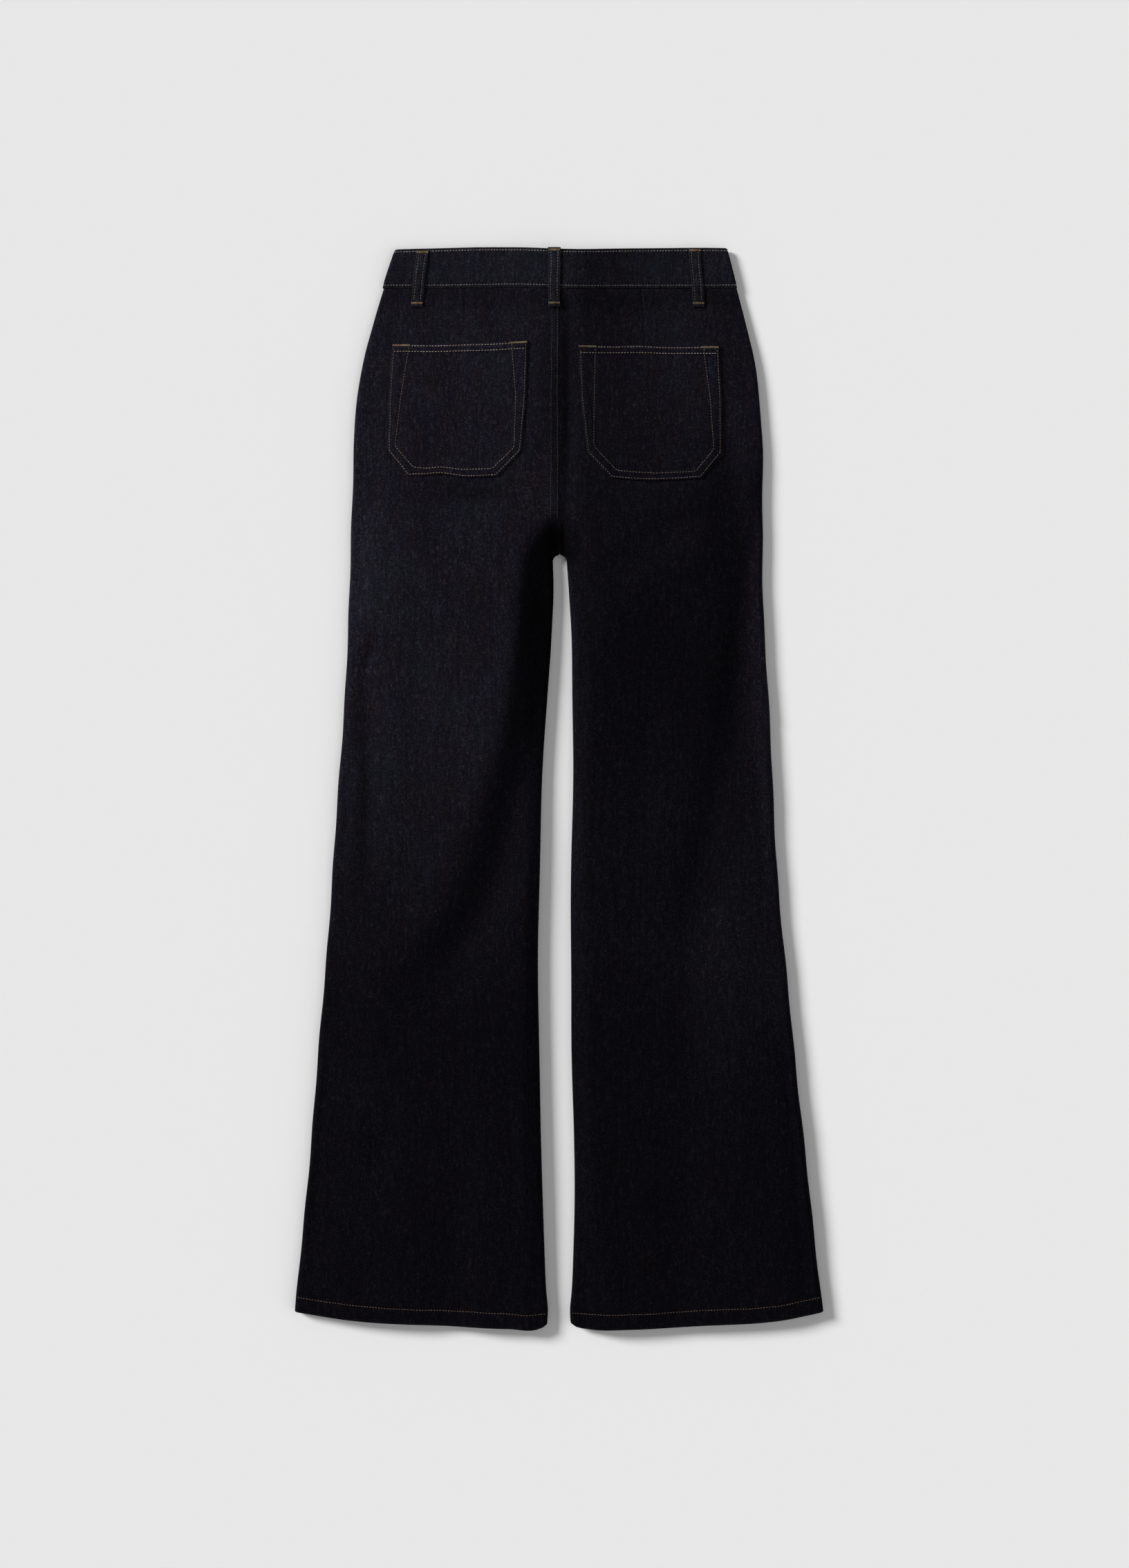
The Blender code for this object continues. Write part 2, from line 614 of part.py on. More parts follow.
def waist_button(metal):
    """The domed head of the tack button, face down under the lapped waistband ends."""
    y = mix(WAIST_Y, BAND_TOP_Y, 0.5) - FRONT_DIP
    profile = [(1.0, BUTTON_HEAD), (1.0, 1.1), (0.93, 0.5), (0.72, 0.15), (0.4, 0.05)]
    segments = 24
    turn = np.arange(segments) * 2 * np.pi / segments
    points = [(BUTTON_RADIUS * r * np.cos(a), y + BUTTON_RADIUS * r * np.sin(a), z)
              for r, z in profile for a in turn]
    faces = [tuple(range(segments)), tuple(range(len(points) - segments, len(points)))]
    for ring in range(len(profile) - 1):
        for i in range(segments):
            a, b = ring * segments + i, ring * segments + (i + 1) % segments
            faces.append((a, b, b + segments, a + segments))
    add_piece("waist_button", points, faces, metal)


for leftover in list(bpy.data.objects):
    bpy.data.objects.remove(leftover)

dark_denim = make_material("dark denim", (0.014, 0.013, 0.021), 0.85)
loop_denim = make_material("belt loop denim", (0.016, 0.015, 0.024), 0.85)
copper = make_material("antique copper", (0.42, 0.24, 0.13), 0.4, 1.0)

for leg_side in (-1, 1):
    pocket_points, pocket_normals = back_panel(leg_side, dark_denim)
    back_pocket(leg_side, dark_denim, pocket_points, pocket_normals)
    front_panel(leg_side, dark_denim)

waistband(dark_denim)

for loop in BACK_LOOPS:
    belt_loop(f"belt_loop_back_{loop.name}", loop_denim, (loop.top_x, LOOP_TOP_Y),
              (loop.bottom_x, WAIST_Y - LOOP_OVERHANG), back_loop_z, LOOP_WALL)
for loop in FRONT_LOOPS:
    dip = float(front_dip(loop.bottom_x))
    belt_loop(f"belt_loop_front_{loop.name}", loop_denim, (loop.top_x, LOOP_TOP_Y - dip),
              (loop.bottom_x, WAIST_Y - LOOP_OVERHANG - dip), front_loop_z, -LOOP_WALL)

waist_button(copper)
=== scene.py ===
"""Flared jeans laid flat with the back uppermost: dark denim, felled seams, topstitching, a button.

Lengths in tables are in millimetres, as a cutter would give them, and MM turns them into metres. A
side of -1 is the wearer's left and +1 the wearer's right.
"""

from collections import namedtuple
from functools import partial

import bpy
import numpy as np
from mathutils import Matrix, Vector


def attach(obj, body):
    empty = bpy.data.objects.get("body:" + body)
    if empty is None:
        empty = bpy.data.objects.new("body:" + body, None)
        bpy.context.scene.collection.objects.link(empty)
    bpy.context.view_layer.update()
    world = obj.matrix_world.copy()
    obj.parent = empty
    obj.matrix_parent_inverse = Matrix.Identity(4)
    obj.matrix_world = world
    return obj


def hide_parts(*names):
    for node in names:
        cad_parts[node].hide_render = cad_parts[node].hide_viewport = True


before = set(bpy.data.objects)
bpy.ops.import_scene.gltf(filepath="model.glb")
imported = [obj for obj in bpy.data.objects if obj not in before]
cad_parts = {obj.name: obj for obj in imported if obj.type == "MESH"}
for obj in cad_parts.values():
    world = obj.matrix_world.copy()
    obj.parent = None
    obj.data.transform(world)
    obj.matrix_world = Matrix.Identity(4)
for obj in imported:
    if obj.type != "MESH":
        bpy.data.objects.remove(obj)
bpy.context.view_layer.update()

# ------------------------------------------------------------
# The table. A plain pale floor under one broad lamp low on the upper left, with a pale board on the
# right to fill the shadows, in dim surroundings, seen from straight above through a long lens.
# ------------------------------------------------------------
FLOOR_HALF, FLOOR_DROP = 7.0, 0.0004
FLOOR_GREY = (0.80, 0.80, 0.80, 1)
SURROUNDINGS = 0.22
LENS, SENSOR, FURTHEST = 90.0, 36.0, 50.0
VIEW_HEIGHT, VIEW_MIDDLE = 1.5876, (0.00525, 0.00385)


def table(columns, *rows):
    """Measures in rows, each read by the names of its columns."""
    kind = namedtuple("Row", columns)
    return tuple(kind(*row) for row in rows)


LAMPS = table(
    "name place strength spread",
    ("lamp", (-0.70, 0.37, 0.40), 4.32, 0.30), ("board", (0.72, -0.35, 0.60), 0.84, 1.2),
)


def into_scene(name, data):
    thing = bpy.data.objects.new(name, data)
    bpy.context.scene.collection.objects.link(thing)
    return thing


def new_material(name, roughness, gloss):
    """A material, its tree, and the sockets of its shader."""
    material = bpy.data.materials.new(name)
    material.use_nodes = True
    skin = material.node_tree.nodes["Principled BSDF"].inputs
    skin["Roughness"].default_value = roughness
    skin["Specular IOR Level"].default_value = gloss
    return material, material.node_tree, skin


floor_paper, _, paper = new_material("floor paper", roughness=1.0, gloss=0.0)
paper["Base Color"].default_value = FLOOR_GREY
floor_mesh = bpy.data.meshes.new("floor")
corners = [(x * FLOOR_HALF, y * FLOOR_HALF, -FLOOR_DROP) for x, y in ((-1, -1), (1, -1), (1, 1), (-1, 1))]
floor_mesh.from_pydata(corners, [], [(0, 1, 2, 3)])
floor_mesh.materials.append(floor_paper)
floor = into_scene("floor", floor_mesh)

for form in LAMPS:
    lamp = into_scene(form.name, bpy.data.lights.new(form.name, "SUN"))
    lamp.data.energy = form.strength
    lamp.data.angle = form.spread
    lamp.rotation_euler = Vector(form.place).to_track_quat("Z", "Y").to_euler()

room = bpy.data.worlds.new("room")
room.use_nodes = True
room.node_tree.nodes["Background"].inputs["Color"].default_value = (1, 1, 1, 1)
room.node_tree.nodes["Background"].inputs["Strength"].default_value = SURROUNDINGS
bpy.context.scene.world = room
bpy.context.scene.view_settings.view_transform = "Standard"

camera = into_scene("camera", bpy.data.cameras.new("camera"))
camera.data.lens = LENS
camera.data.sensor_width = SENSOR
camera.data.clip_end = FURTHEST
camera.location = (*VIEW_MIDDLE, VIEW_HEIGHT * LENS / SENSOR)
bpy.context.scene.camera = camera

# ------------------------------------------------------------
# The denim. Indigo warp over pale weft in a right-hand twill, dyed dark and hardly washed: pale weft
# specks it finely, slubs run down the warp, and turned edges are rubbed lighter.
# ------------------------------------------------------------
TWILL_ACROSS, TWILL_ALONG = 6200.0, 3800.0  # radians a metre


def add_nodes(tree, *kinds):
    return [tree.nodes.new(kind) for kind in kinds]


def feed(tree, socket, value):
    """Links a socket to another, or sets it to a plain value."""
    if isinstance(value, bpy.types.NodeSocket):
        tree.links.new(value, socket)
    else:
        socket.default_value = value


def calculate(tree, operation, *values, clamp=False):
    node = tree.nodes.new("ShaderNodeMath")
    node.operation = operation
    node.use_clamp = clamp
    for socket, value in zip(node.inputs, values):
        feed(tree, socket, value)
    return node.outputs[0]


def fit(tree, value, times, plus, clamp=False):
    """value x times + plus"""
    return calculate(tree, "MULTIPLY_ADD", value, times, plus, clamp=clamp)


def blend_colours(tree, share, first, second):
    node = tree.nodes.new("ShaderNodeMix")
    node.data_type = "RGBA"
    colours = [socket for socket in node.inputs if socket.type == "RGBA"]
    feed(tree, node.inputs["Factor"], share)
    feed(tree, colours[0], first)
    feed(tree, colours[1], second)
    return next(socket for socket in node.outputs if socket.type == "RGBA")


def scale_colour(tree, colour, amount):
    node = tree.nodes.new("ShaderNodeVectorMath")
    node.operation = "SCALE"
    feed(tree, node.inputs[0], colour)
    feed(tree, node.inputs["Scale"], amount)
    return node.outputs[0]


def noise(tree, place, along, scale, detail=2.0, roughness=0.5):
    """Noise read at `place`, and drawn out along the warp where `along` is small."""
    mapping, texture = add_nodes(tree, "ShaderNodeMapping", "ShaderNodeTexNoise")
    mapping.inputs["Scale"].default_value = (1.0, along, 1.0)
    texture.inputs["Scale"].default_value = scale
    texture.inputs["Detail"].default_value = detail
    texture.inputs["Roughness"].default_value = roughness
    tree.links.new(place, mapping.inputs["Vector"])
    tree.links.new(mapping.outputs["Vector"], texture.inputs["Vector"])
    return texture.outputs["Fac"]


def read_mark(tree, label):
    """What a piece's own attribute says at each point."""
    node = tree.nodes.new("ShaderNodeAttribute")
    node.attribute_name = label
    return node.outputs["Fac"]


def emboss(tree, skin, height, strength, depth):
    """Bump from a height, `depth` metres deep."""
    bump = tree.nodes.new("ShaderNodeBump")
    bump.inputs["Strength"].default_value = strength
    bump.inputs["Distance"].default_value = depth
    tree.links.new(height, bump.inputs["Height"])
    tree.links.new(bump.outputs["Normal"], skin["Normal"])


def new_group(name, **inputs):
    """A node group that reads a place and gives a colour and a height. Its inputs are named by kind."""
    tree = bpy.data.node_groups.new(name, "ShaderNodeTree")
    sockets = [("INPUT", kind, labels) for kind, labels in inputs.items()]
    for way, kind, labels in sockets + [("OUTPUT", "Color", "Colour"), ("OUTPUT", "Float", "Height")]:
        for label in labels.split():
            tree.interface.new_socket(label, in_out=way, socket_type=f"NodeSocket{kind}")
    given, result, split = add_nodes(tree, "NodeGroupInput", "NodeGroupOutput", "ShaderNodeSeparateXYZ")
    tree.links.new(given.outputs["Place"], split.inputs[0])
    return tree, given.outputs, result.inputs, split.outputs


def make_denim_group():
    tree, given, result, at = new_group(
        "Denim", Vector="Place", Color="Indigo Dusk Slate Weft", Float="Flecks Rubbed Edge")
    place = given["Place"]
    warp = calculate(tree, "MULTIPLY", at["X"], TWILL_ACROSS)
    weft = calculate(tree, "MULTIPLY", at["Y"], TWILL_ALONG)
    twill = fit(tree, calculate(tree, "SINE", calculate(tree, "SUBTRACT", warp, weft)), 0.5, 0.5)
    slub = noise(tree, place, 0.05, 900, 3)
    fine = noise(tree, place, 0.7, 1500)
    specks = noise(tree, place, 0.8, 700, roughness=0.7)
    knots = noise(tree, place, 0.45, 330, roughness=0.6)
    yarns = noise(tree, place, 0.06, 300, roughness=0.6)
    patches = noise(tree, place, 0.5, 85)
    clouds = noise(tree, place, 0.6, 14, 3)
    # The dye's hue, its depth, and how much pale weft shows
    hue = fit(tree, patches, 1.5, fit(tree, yarns, 0.4, -0.45), clamp=True)
    body = blend_colours(tree, hue, given["Dusk"], given["Indigo"])
    slaty = calculate(tree, "MULTIPLY", fit(tree, clouds, 4.0, -1.7, clamp=True), 0.36)
    body = blend_colours(tree, slaty, body, given["Slate"])
    tone = -3.92
    for texture, weight in ((specks, 3.6), (knots, 1.2), (fine, 1.8), (slub, 1.3), (yarns, 0.8),
                            (clouds, 0.8)):
        tone = fit(tree, texture, weight, tone)
    shade = scale_colour(tree, body, calculate(tree, "MAXIMUM", tone, 0.55))
    flecks = fit(tree, specks, 6.0, -3.7, clamp=True)
    flecks = fit(tree, fit(tree, knots, 5.0, -2.9, clamp=True), 0.4, flecks)
    pale = calculate(tree, "MULTIPLY", flecks, given["Flecks"])
    pale = fit(tree, calculate(tree, "MULTIPLY", twill, slub), given["Rubbed"], pale)
    pale = fit(tree, calculate(tree, "MULTIPLY", slub, 0.5), given["Edge"], pale, clamp=True)
    tree.links.new(blend_colours(tree, pale, shade, given["Weft"]), result["Colour"])
    height = fit(tree, slub, 0.8, calculate(tree, "MULTIPLY", twill, 0.7))
    tree.links.new(fit(tree, fine, 0.6, height), result["Height"])
    return tree


denim_group = make_denim_group()

Dye = namedtuple("Dye", "indigo dusk slate weft flecks rubbed")
RIGHT_SIDE = Dye((0.0065, 0.0064, 0.0127), (0.0094, 0.0064, 0.0094), (0.0056, 0.0079, 0.0115),
                 (0.063, 0.062, 0.071), 0.34, 0.04)
TURNED_SIDE = Dye((0.0066, 0.0070, 0.0133), (0.0096, 0.0068, 0.0099), (0.0053, 0.0092, 0.0122),
                  (0.062, 0.065, 0.074), 0.27, 0.05)
WRONG_SIDE = Dye((0.030, 0.034, 0.050), (0.040, 0.040, 0.046), (0.035, 0.038, 0.042),
                 (0.20, 0.20, 0.20), 0.5, 0.5)


def make_denim(name, dye, offset=(0, 0, 0), strength=1.0, roughness=0.84, with_painted_shade=True):
    """Denim for one kind of piece. `offset` moves the cloth's pattern, `strength` lightens it, and with
    painted shade its colour is scaled at each point by the piece's own fade and painted shade."""
    material, tree, skin = new_material(name, roughness, gloss=0.02)
    where, mapping, cloth = add_nodes(
        tree, "ShaderNodeTexCoord", "ShaderNodeMapping", "ShaderNodeGroup")
    cloth.node_tree = denim_group
    mapping.inputs["Location"].default_value = offset
    for label, colour in zip(("Indigo", "Dusk", "Slate", "Weft"), dye):
        cloth.inputs[label].default_value = (*(channel * strength for channel in colour), 1)
    cloth.inputs["Flecks"].default_value = dye.flecks
    cloth.inputs["Rubbed"].default_value = dye.rubbed
    tree.links.new(read_mark(tree, "rubbed_edge"), cloth.inputs["Edge"])
    tree.links.new(where.outputs["Object"], mapping.inputs["Vector"])
    tree.links.new(mapping.outputs["Vector"], cloth.inputs["Place"])
    emboss(tree, skin, cloth.outputs["Height"], strength=0.5, depth=0.0003)
    colour = cloth.outputs["Colour"]
    # The piece's own fade and painted shade, read from its attribute
    if with_painted_shade:
        colour = scale_colour(tree, colour, read_mark(tree, "fade_and_painted_shade"))
    tree.links.new(colour, skin["Base Color"])
    return material


dark_denim = make_denim("dark denim", RIGHT_SIDE)
denim_wrong_side = make_denim("denim wrong side", WRONG_SIDE, (0.2, 0.1, 0), roughness=0.9, with_painted_shade=False)

# ------------------------------------------------------------
# The two backs. Each is cut in one from the waist to a hem turned up 16 mm, and shaped at the waist
# by a dart. They lie on the fronts, roll over at the side seam and the inseam, and keep the soft
# creases of a garment that was smoothed out by hand.
# ------------------------------------------------------------
MM = 0.001
DENIM_WALL, HEM_WALL = 1.2, 2.4
SEAM_GAP = 0.3
WAIST_Y, FOOT_Y = 505.0, -547.0
HEM_DEPTH = 15.6
CROTCH_X, CROTCH_Y, CROTCH_RADIUS = 0.5, 228.5, 7.0
ARCH_TOP = CROTCH_Y + CROTCH_RADIUS
SEAT_FOOT_Y, SEAT_FADE = 268.0, 20.0
SEAT_LAP, SEAT_LAP_RISE = 10.0, 0.8
LAP_LIFT, LAP_LIFT_FLAT, LAP_LIFT_REACH = 3.2, 20.0, 75.0
SIDE_SLOPE, CREASE_FADE = 60.0, 14.0
HAND_WAVE, HAND_RIPPLE = 0.35, 0.14
HEM_PUCKER, SIDE_PUCKER, SEAT_PUCKER, WAIST_PUCKER = 0.26, 0.20, 0.20, 0.22
LAP_SWELL, LAP_MIDDLE, HEM_ROW_SUNK = 0.18, 5.7, 0.35
SIDE_RUB, INSEAM_RUB, RUB_WIDTH = 0.25, 0.15, 1.5

SIDE_SEAMS = table(
    "y left right",
    (-532, -267.4, 267.4), (-462, -260.4, 258.3), (-350, -250.6, 247.1), (-238, -240.8, 234.5),
    (-126, -232.4, 224.0), (-14, -224.0, 216.3), (98, -217.0, 211.4), (210, -211.4, 205.5),
    (276, -210.0, 205.1), (350, -207.9, 205.8), (392, -205.1, 203.0), (434, -196.7, 196.7),
    (476, -186.2, 186.9), (507, -176.8, 178.8),
)
INSEAMS = table(
    "y left right",
    (-547, -12.4, 12.2), (-538, -11.6, 10.9), (-526, -11.2, 10.7), (-512, -12.6, 12.2),
    (-462, -15.4, 14.7), (-350, -18.2, 14.5), (-238, -21.0, 12.0), (-70, -19.6, 12.2),
    (42, -15.4, 14.0), (98, -11.9, 13.3), (154, -7.7, 12.0), (206, -5.8, 9.1), (228.5, -6.5, 7.5),
)
# Each dart's line, and below it the middle of the leg
DARTS = table(
    "y left right",
    (-547, -140.0, 140.0), (0, -118.0, 116.0), (300, -102.0, 96.0), (454, -96.6, 87.0),
    (507, -94.6, 81.6),
)
HEM_LINE = table(
    "x y",
    (-268, -529.5), (-212, -537.9), (-117, -543.5), (-50, -546.6), (-21, -546.9), (-16.5, -545.2),
    (-12, -542.6), (12, -541.8), (18.5, -545.2), (30, -547.1), (70, -547.3), (141, -543.5),
    (225, -537.9), (268, -529.5),
)
WAIST_LINE = table(
    "x y",
    (-178, 504.9), (-118, 504.9), (-76, 505.5), (-48, 505.7), (-14, 504.9), (22, 504.2), (64, 504.6),
    (141, 504.7), (178, 505.0),
)
LOFTS = table(
    "y belly fold rim crown roll inner_slope",
    (-547, 0.0, 5.4, 10.4, 13.5, 5.5, 26), (-430, 0.0, 5.6, 11.4, 17.0, 6.0, 22),
    (-300, 0.0, 5.5, 11.2, 17.5, 6.0, 20), (-150, 0.0, 5.2, 10.4, 16.5, 5.5, 16),
    (0, 0.0, 5.0, 10.0, 16.0, 5.5, 16), (150, 0.0, 4.8, 9.6, 16.0, 5.5, 30),
    (300, 0.0, 4.5, 9.0, 16.5, 5.5, 40), (400, 0.0, 4.3, 8.4, 14.5, 5.5, 40),
    (475, 2.1, 4.3, 7.0, 9.0, 4.0, 40), (507, 2.4, 4.4, 6.4, 6.4, 3.4, 40),
    (546, 2.4, 4.4, 6.4, 6.4, 3.4, 40),
)
# A crease is a trough along a path, with a swell of cloth on one side of it, and has its whole depth
# where its share is 1
Crease = namedtuple("Crease", "depth width swell path")


def creases(*rows):
    return tuple(Crease(*row[:3], table("x y share", *row[3])) for row in rows)


BROAD_CREASES = creases(
    # The left knee
    (4.6, 18, 1.8, ((-14, 110, 0), (-28, 60, 0.6), (-50, -32, 1), (-72, -112, 1), (-112, -166, 0.8),
        (-172, -214, 0))),
    # The right thigh
    (5.0, 17, -1.6, ((200, 300, 0), (191, 220, 0.6), (181, 140, 1), (162, 0, 1), (137, -105, 0.5),
        (120, -160, 0))),
    # Under the right seat
    (2.4, 18, -1.8, ((196, 400, 0), (180, 340, 0.7), (148, 280, 1), (92, 246, 1), (40, 208, 0.6),
        (22, 176, 0))),
    # Under the left seat
    (2.2, 16, -0.8, ((-180, 310, 0), (-135, 290, 0.9), (-80, 286, 1), (-34, 296, 0))),
    # The middle of the left hem
    (4.2, 26, 0.0, ((-112, -560, 1), (-110, -480, 0.8), (-104, -390, 0.4), (-100, -290, 0))),
    # The inner side of the right hem
    (3.8, 18, 0.0, ((22, -560, 1), (26, -500, 0.7), (32, -400, 0))),
    # The calves
    (2.0, 24, 0.0, ((112, -540, 0.6), (120, -440, 1), (104, -330, 0.7), (98, -240, 0))),
    (1.8, 22, 0.0, ((-206, -520, 0.6), (-196, -400, 1), (-186, -300, 0))),
)
# The small ones, which die out in the thickness of the cloth
DART_SEAMS = creases(
    (0.45, 1.0, 0.4, ((-94.6, 512, 1), (-95.6, 490, 1), (-96.6, 452, 0))),
    (0.45, 1.0, -0.4, ((81.5, 512, 1), (84.2, 490, 1), (87.2, 448, 0))),
)
SEAT_HOLLOWS = creases(
    (2.6, 6, 0.0, ((8, 505, 0.4), (8, 450, 0.9), (8, 380, 1), (7, 300, 0.8), (6, 262, 0))),
    (0.8, 6, 0.3, ((-16, 470, 0), (-16, 420, 0.8), (-15, 330, 1), (-14, 262, 0))),
)
CROTCH_PULLS = creases(
    (3.0, 7, 0.0, ((-6, 274, 0), (-6, 262, 0.8), (-4, 246, 1), (-1, 232, 1))),
    (2.6, 7, 0.0, ((-4, 266, 0.5), (-22, 252, 1), (-30, 222, 0.9), (-34, 170, 0))),
    (2.0, 4.5, 1.0, ((4, 286, 0), (10, 270, 0.8), (20, 257, 1), (22, 243, 0.8), (17, 222, 0))),
    (1.0, 6, -0.5, ((9, 215, 0), (26, 188, 1), (36, 150, 0.7), (38, 100, 0))),
    (0.9, 7, 0.5, ((-8, 200, 0), (-24, 160, 1), (-34, 110, 0.6), (-38, 60, 0))),
)
SEAM_DRAGS = creases(
    (2.2, 7, 0.8, ((-180, 170, 0), (-190, 135, 0.8), (-196, 100, 1), (-195, 0, 1), (-198, -80, 0.8),
        (-204, -150, 0))),
    (1.0, 5, 0.5, ((-232, -240, 0), (-240, -330, 1), (-249, -450, 0.8), (-252, -500, 0))),
    (1.0, 5, -0.5, ((198, 60, 0), (202, 0, 1), (207, -80, 0.6), (214, -150, 0))),
    (1.2, 5, -0.6, ((224, -240, 0), (232, -320, 1), (243, -440, 1), (250, -520, 0.4))),
)
NIPS = creases(
    (0.9, 5, 0.0, ((-183, 168, 0), (-190, 150, 1), (-199, 129, 1), (-207, 112, 0))),
    (1.2, 14, 0.0, ((30, -190, 0), (42, -217, 1), (58, -240, 0))),
    (1.2, 3.5, 0.4, ((212, 66, 1), (202, 67, 0.8), (190, 64, 0))),
    (1.0, 4, 0.4, ((-220, 118, 1), (-212, 121, 0.8), (-200, 120, 0))),
    (0.7, 9, 0.3, ((-60, 500, 0), (-64, 480, 1), (-58, 458, 0.6))),
)
LONG_DRAGS = creases(
    (0.8, 12, 0.4, ((-150, 180, 0), (-142, 90, 1), (-136, 0, 0.7), (-140, -80, 0))),
    (0.8, 11, -0.4, ((96, 190, 0), (88, 90, 1), (86, -20, 0.8), (92, -120, 0))),
    (0.7, 12, 0.4, ((-58, -230, 0), (-50, -330, 1), (-48, -450, 0.8), (-52, -540, 0.5))),
    (0.8, 13, -0.4, ((190, -210, 0), (196, -320, 1), (204, -440, 1), (208, -540, 0.7))),
    (0.7, 10, 0.3, ((60, -300, 0), (62, -400, 1), (70, -520, 1))),
    (0.8, 12, 0.4, ((-130, 306, 0.4), (-120, 250, 1), (-104, 200, 0))),
)
SMALL_CREASES = DART_SEAMS + SEAT_HOLLOWS + CROTCH_PULLS + SEAM_DRAGS + NIPS + LONG_DRAGS

# Painted shade along the seat seam, under the waistband, in the crotch and along creases, or if negative
# painted light on lit outer edges and pale lines down the darts: how much, how wide and along which line
SHADE_AND_LIGHT_LINES = creases(
    (0.60, 6.5, 0.0, ((6, 490, 0.2), (7, 450, 0.9), (7, 360, 1), (5, 290, 0.6), (4, 262, 0.6))),
    (0.36, 4.5, 0.0, ((-13, 484, 0.3), (-13, 440, 1), (-12, 370, 1), (-11, 310, 0))),
    (0.42, 4.5, 0.0, ((-5, 450, 0), (-5, 410, 1), (-5, 330, 1), (-5, 290, 0.3))),
    (0.85, 9, 0.0, ((-6, 270, 0.5), (-6, 258, 1), (-3, 240, 1), (0, 230, 1))),
    (0.30, 12, 0.0, ((-170, 496, 0.5), (-60, 494, 0.6), (20, 492, 1), (176, 494, 1))),
    (0.26, 13, 0.0, ((-146, 298, 0), (-120, 300, 1), (-70, 300, 1), (-40, 306, 0))),
    (0.30, 7, 0.0, ((-194, 110, 0), (-195, 50, 1), (-196, -90, 1), (-204, -170, 0))),
    (0.34, 16, 0.0, ((184, 330, 0), (160, 286, 1), (150, 240, 0.8), (140, 190, 0))),
    (0.80, 15, 0.0, ((-2, 266, 0), (0, 254, 0.7), (0, 244, 1), (0, 228, 1))),
    (-0.34, 13, 0.0, ((-184, 306, 0), (-196, 262, 1), (-203, 190, 1), (-202, 130, 0.5), (-200, 70, 0))),
    (-0.50, 12, 0.0, ((206, 210, 0), (212, 120, 1), (208, 40, 1), (210, -20, 0.5), (214, -80, 0))),
    (-0.40, 9, 0.0, ((172, 420, 0), (177, 370, 1), (180, 338, 1), (176, 306, 0))),
    (0.26, 4.5, 0.0, ((-181, 166, 0), (-188, 148, 1), (-197, 127, 1), (-205, 110, 0))),
    (-0.30, 4, 0.0, ((-91, 506, 0.7), (-92, 470, 1), (-97, 430, 0.7), (-101, 360, 0))),
    (-0.24, 4, 0.0, ((87, 500, 0), (89, 470, 1), (91, 448, 0.8), (92, 420, 0))),
)
# How pale the hem is, from fade and painted shade, and how much more painted shade the right side has than
# the left, with more on its thigh and less on its calf, on its seat and along its lit outer edge
HEM_FADE_AND_SHADE = 0.36
RIGHT_SIDE_SHADE, RIGHT_THIGH_SHADE, CALF_EASE = 0.42, 0.28, 0.24
SEAT_EASES = (0.03, 0.30)
OUTER_EASE, OUTER_CALF = 0.62, 0.45
# Painted shade on the inner side of the left leg, which lies deep in the fold between the legs: where
# that starts, how soft its edge is, how deep the painted shade is there, and how far it has eased at the
# inseam
INNER_SHADES = table(
    "y edge soft depth ease",
    (-250, -184, 70, 0.0, 0.9), (-193, -152, 60, 0.30, 0.9), (-148, -128, 55, 0.42, 0.8),
    (-103, -108, 52, 0.50, 0.7), (-58, -92, 48, 0.56, 0.55), (-14, -80, 40, 0.62, 0.45),
    (31, -66, 32, 0.72, 0.2), (76, -56, 26, 0.80, 0.0), (121, -50, 20, 0.84, 0.0),
    (217, -37, 16, 0.87, 0.0), (240, -30, 13, 0.87, 0.0), (258, -18, 10, 0.84, 0.0),
    (276, 4, 10, 0.0, 0.0),
)


def step(t):
    """0 below 0, 1 above 1, and a smooth rise between."""
    t = np.clip(t, 0, 1)
    return t * t * (3 - 2 * t)


def mix(a, b, share):
    return a + (b - a) * share


def near(distance, width):
    """1 at a line and 0 well away from it."""
    return np.exp(-((distance / width) ** 2))


def through(knots, values, at):
    """The smooth curve through values at knots, read at `at`."""
    knots = np.asarray(knots, float)
    values = np.asarray(values, float)
    slopes = np.gradient(values, knots)
    at = np.clip(at, knots[0], knots[-1])
    i = np.clip(np.searchsorted(knots, at) - 1, 0, len(knots) - 2)
    span = knots[i + 1] - knots[i]
    t = (at - knots[i]) / span
    start = values[i] * (1 + 2 * t) * (1 - t) ** 2 + slopes[i] * span * t * (1 - t) ** 2
    end = values[i + 1] * t**2 * (3 - 2 * t) - slopes[i + 1] * span * t**2 * (1 - t)
    return start + end


def column(rows, name):
    return [getattr(row, name) for row in rows]


def read(rows, name, y):
    return through(column(rows, "y"), column(rows, name), y)


def line_y(line, x):
    """The height at x of a line that runs across."""
    return through(column(line, "x"), column(line, "y"), x)


def leg(side):
    return "left" if side < 0 else "right"


def on_leg(y):
    """0 on the seat and 1 on the leg."""
    return step((SEAT_FOOT_Y - y) / SEAT_FADE)


def side_seam_x(side, y):
    """The side seam, a little uneven where its turnings press through."""
    waver = 0.5 * np.sin(y / 37 + side) + 0.35 * np.sin(y / 13.7 + 2 * side)
    return read(SIDE_SEAMS, leg(side), y) + waver * step((480 - y) / 40)


def inseam_x(side, y):
    """The inner edge of a leg, with the arch where the legs part."""
    waver = 0.35 * np.sin(y / 29 + 2 * side) * step((200 - y) / 60)
    below = read(INSEAMS, leg(side), y) + waver
    rise = np.clip((y - CROTCH_Y) / CROTCH_RADIUS, 0, 1)
    arch = CROTCH_X + side * CROTCH_RADIUS * np.sqrt(1 - rise**2)
    return np.where(y >= CROTCH_Y, arch, below)


def hem_y(x):
    return line_y(HEM_LINE, x)


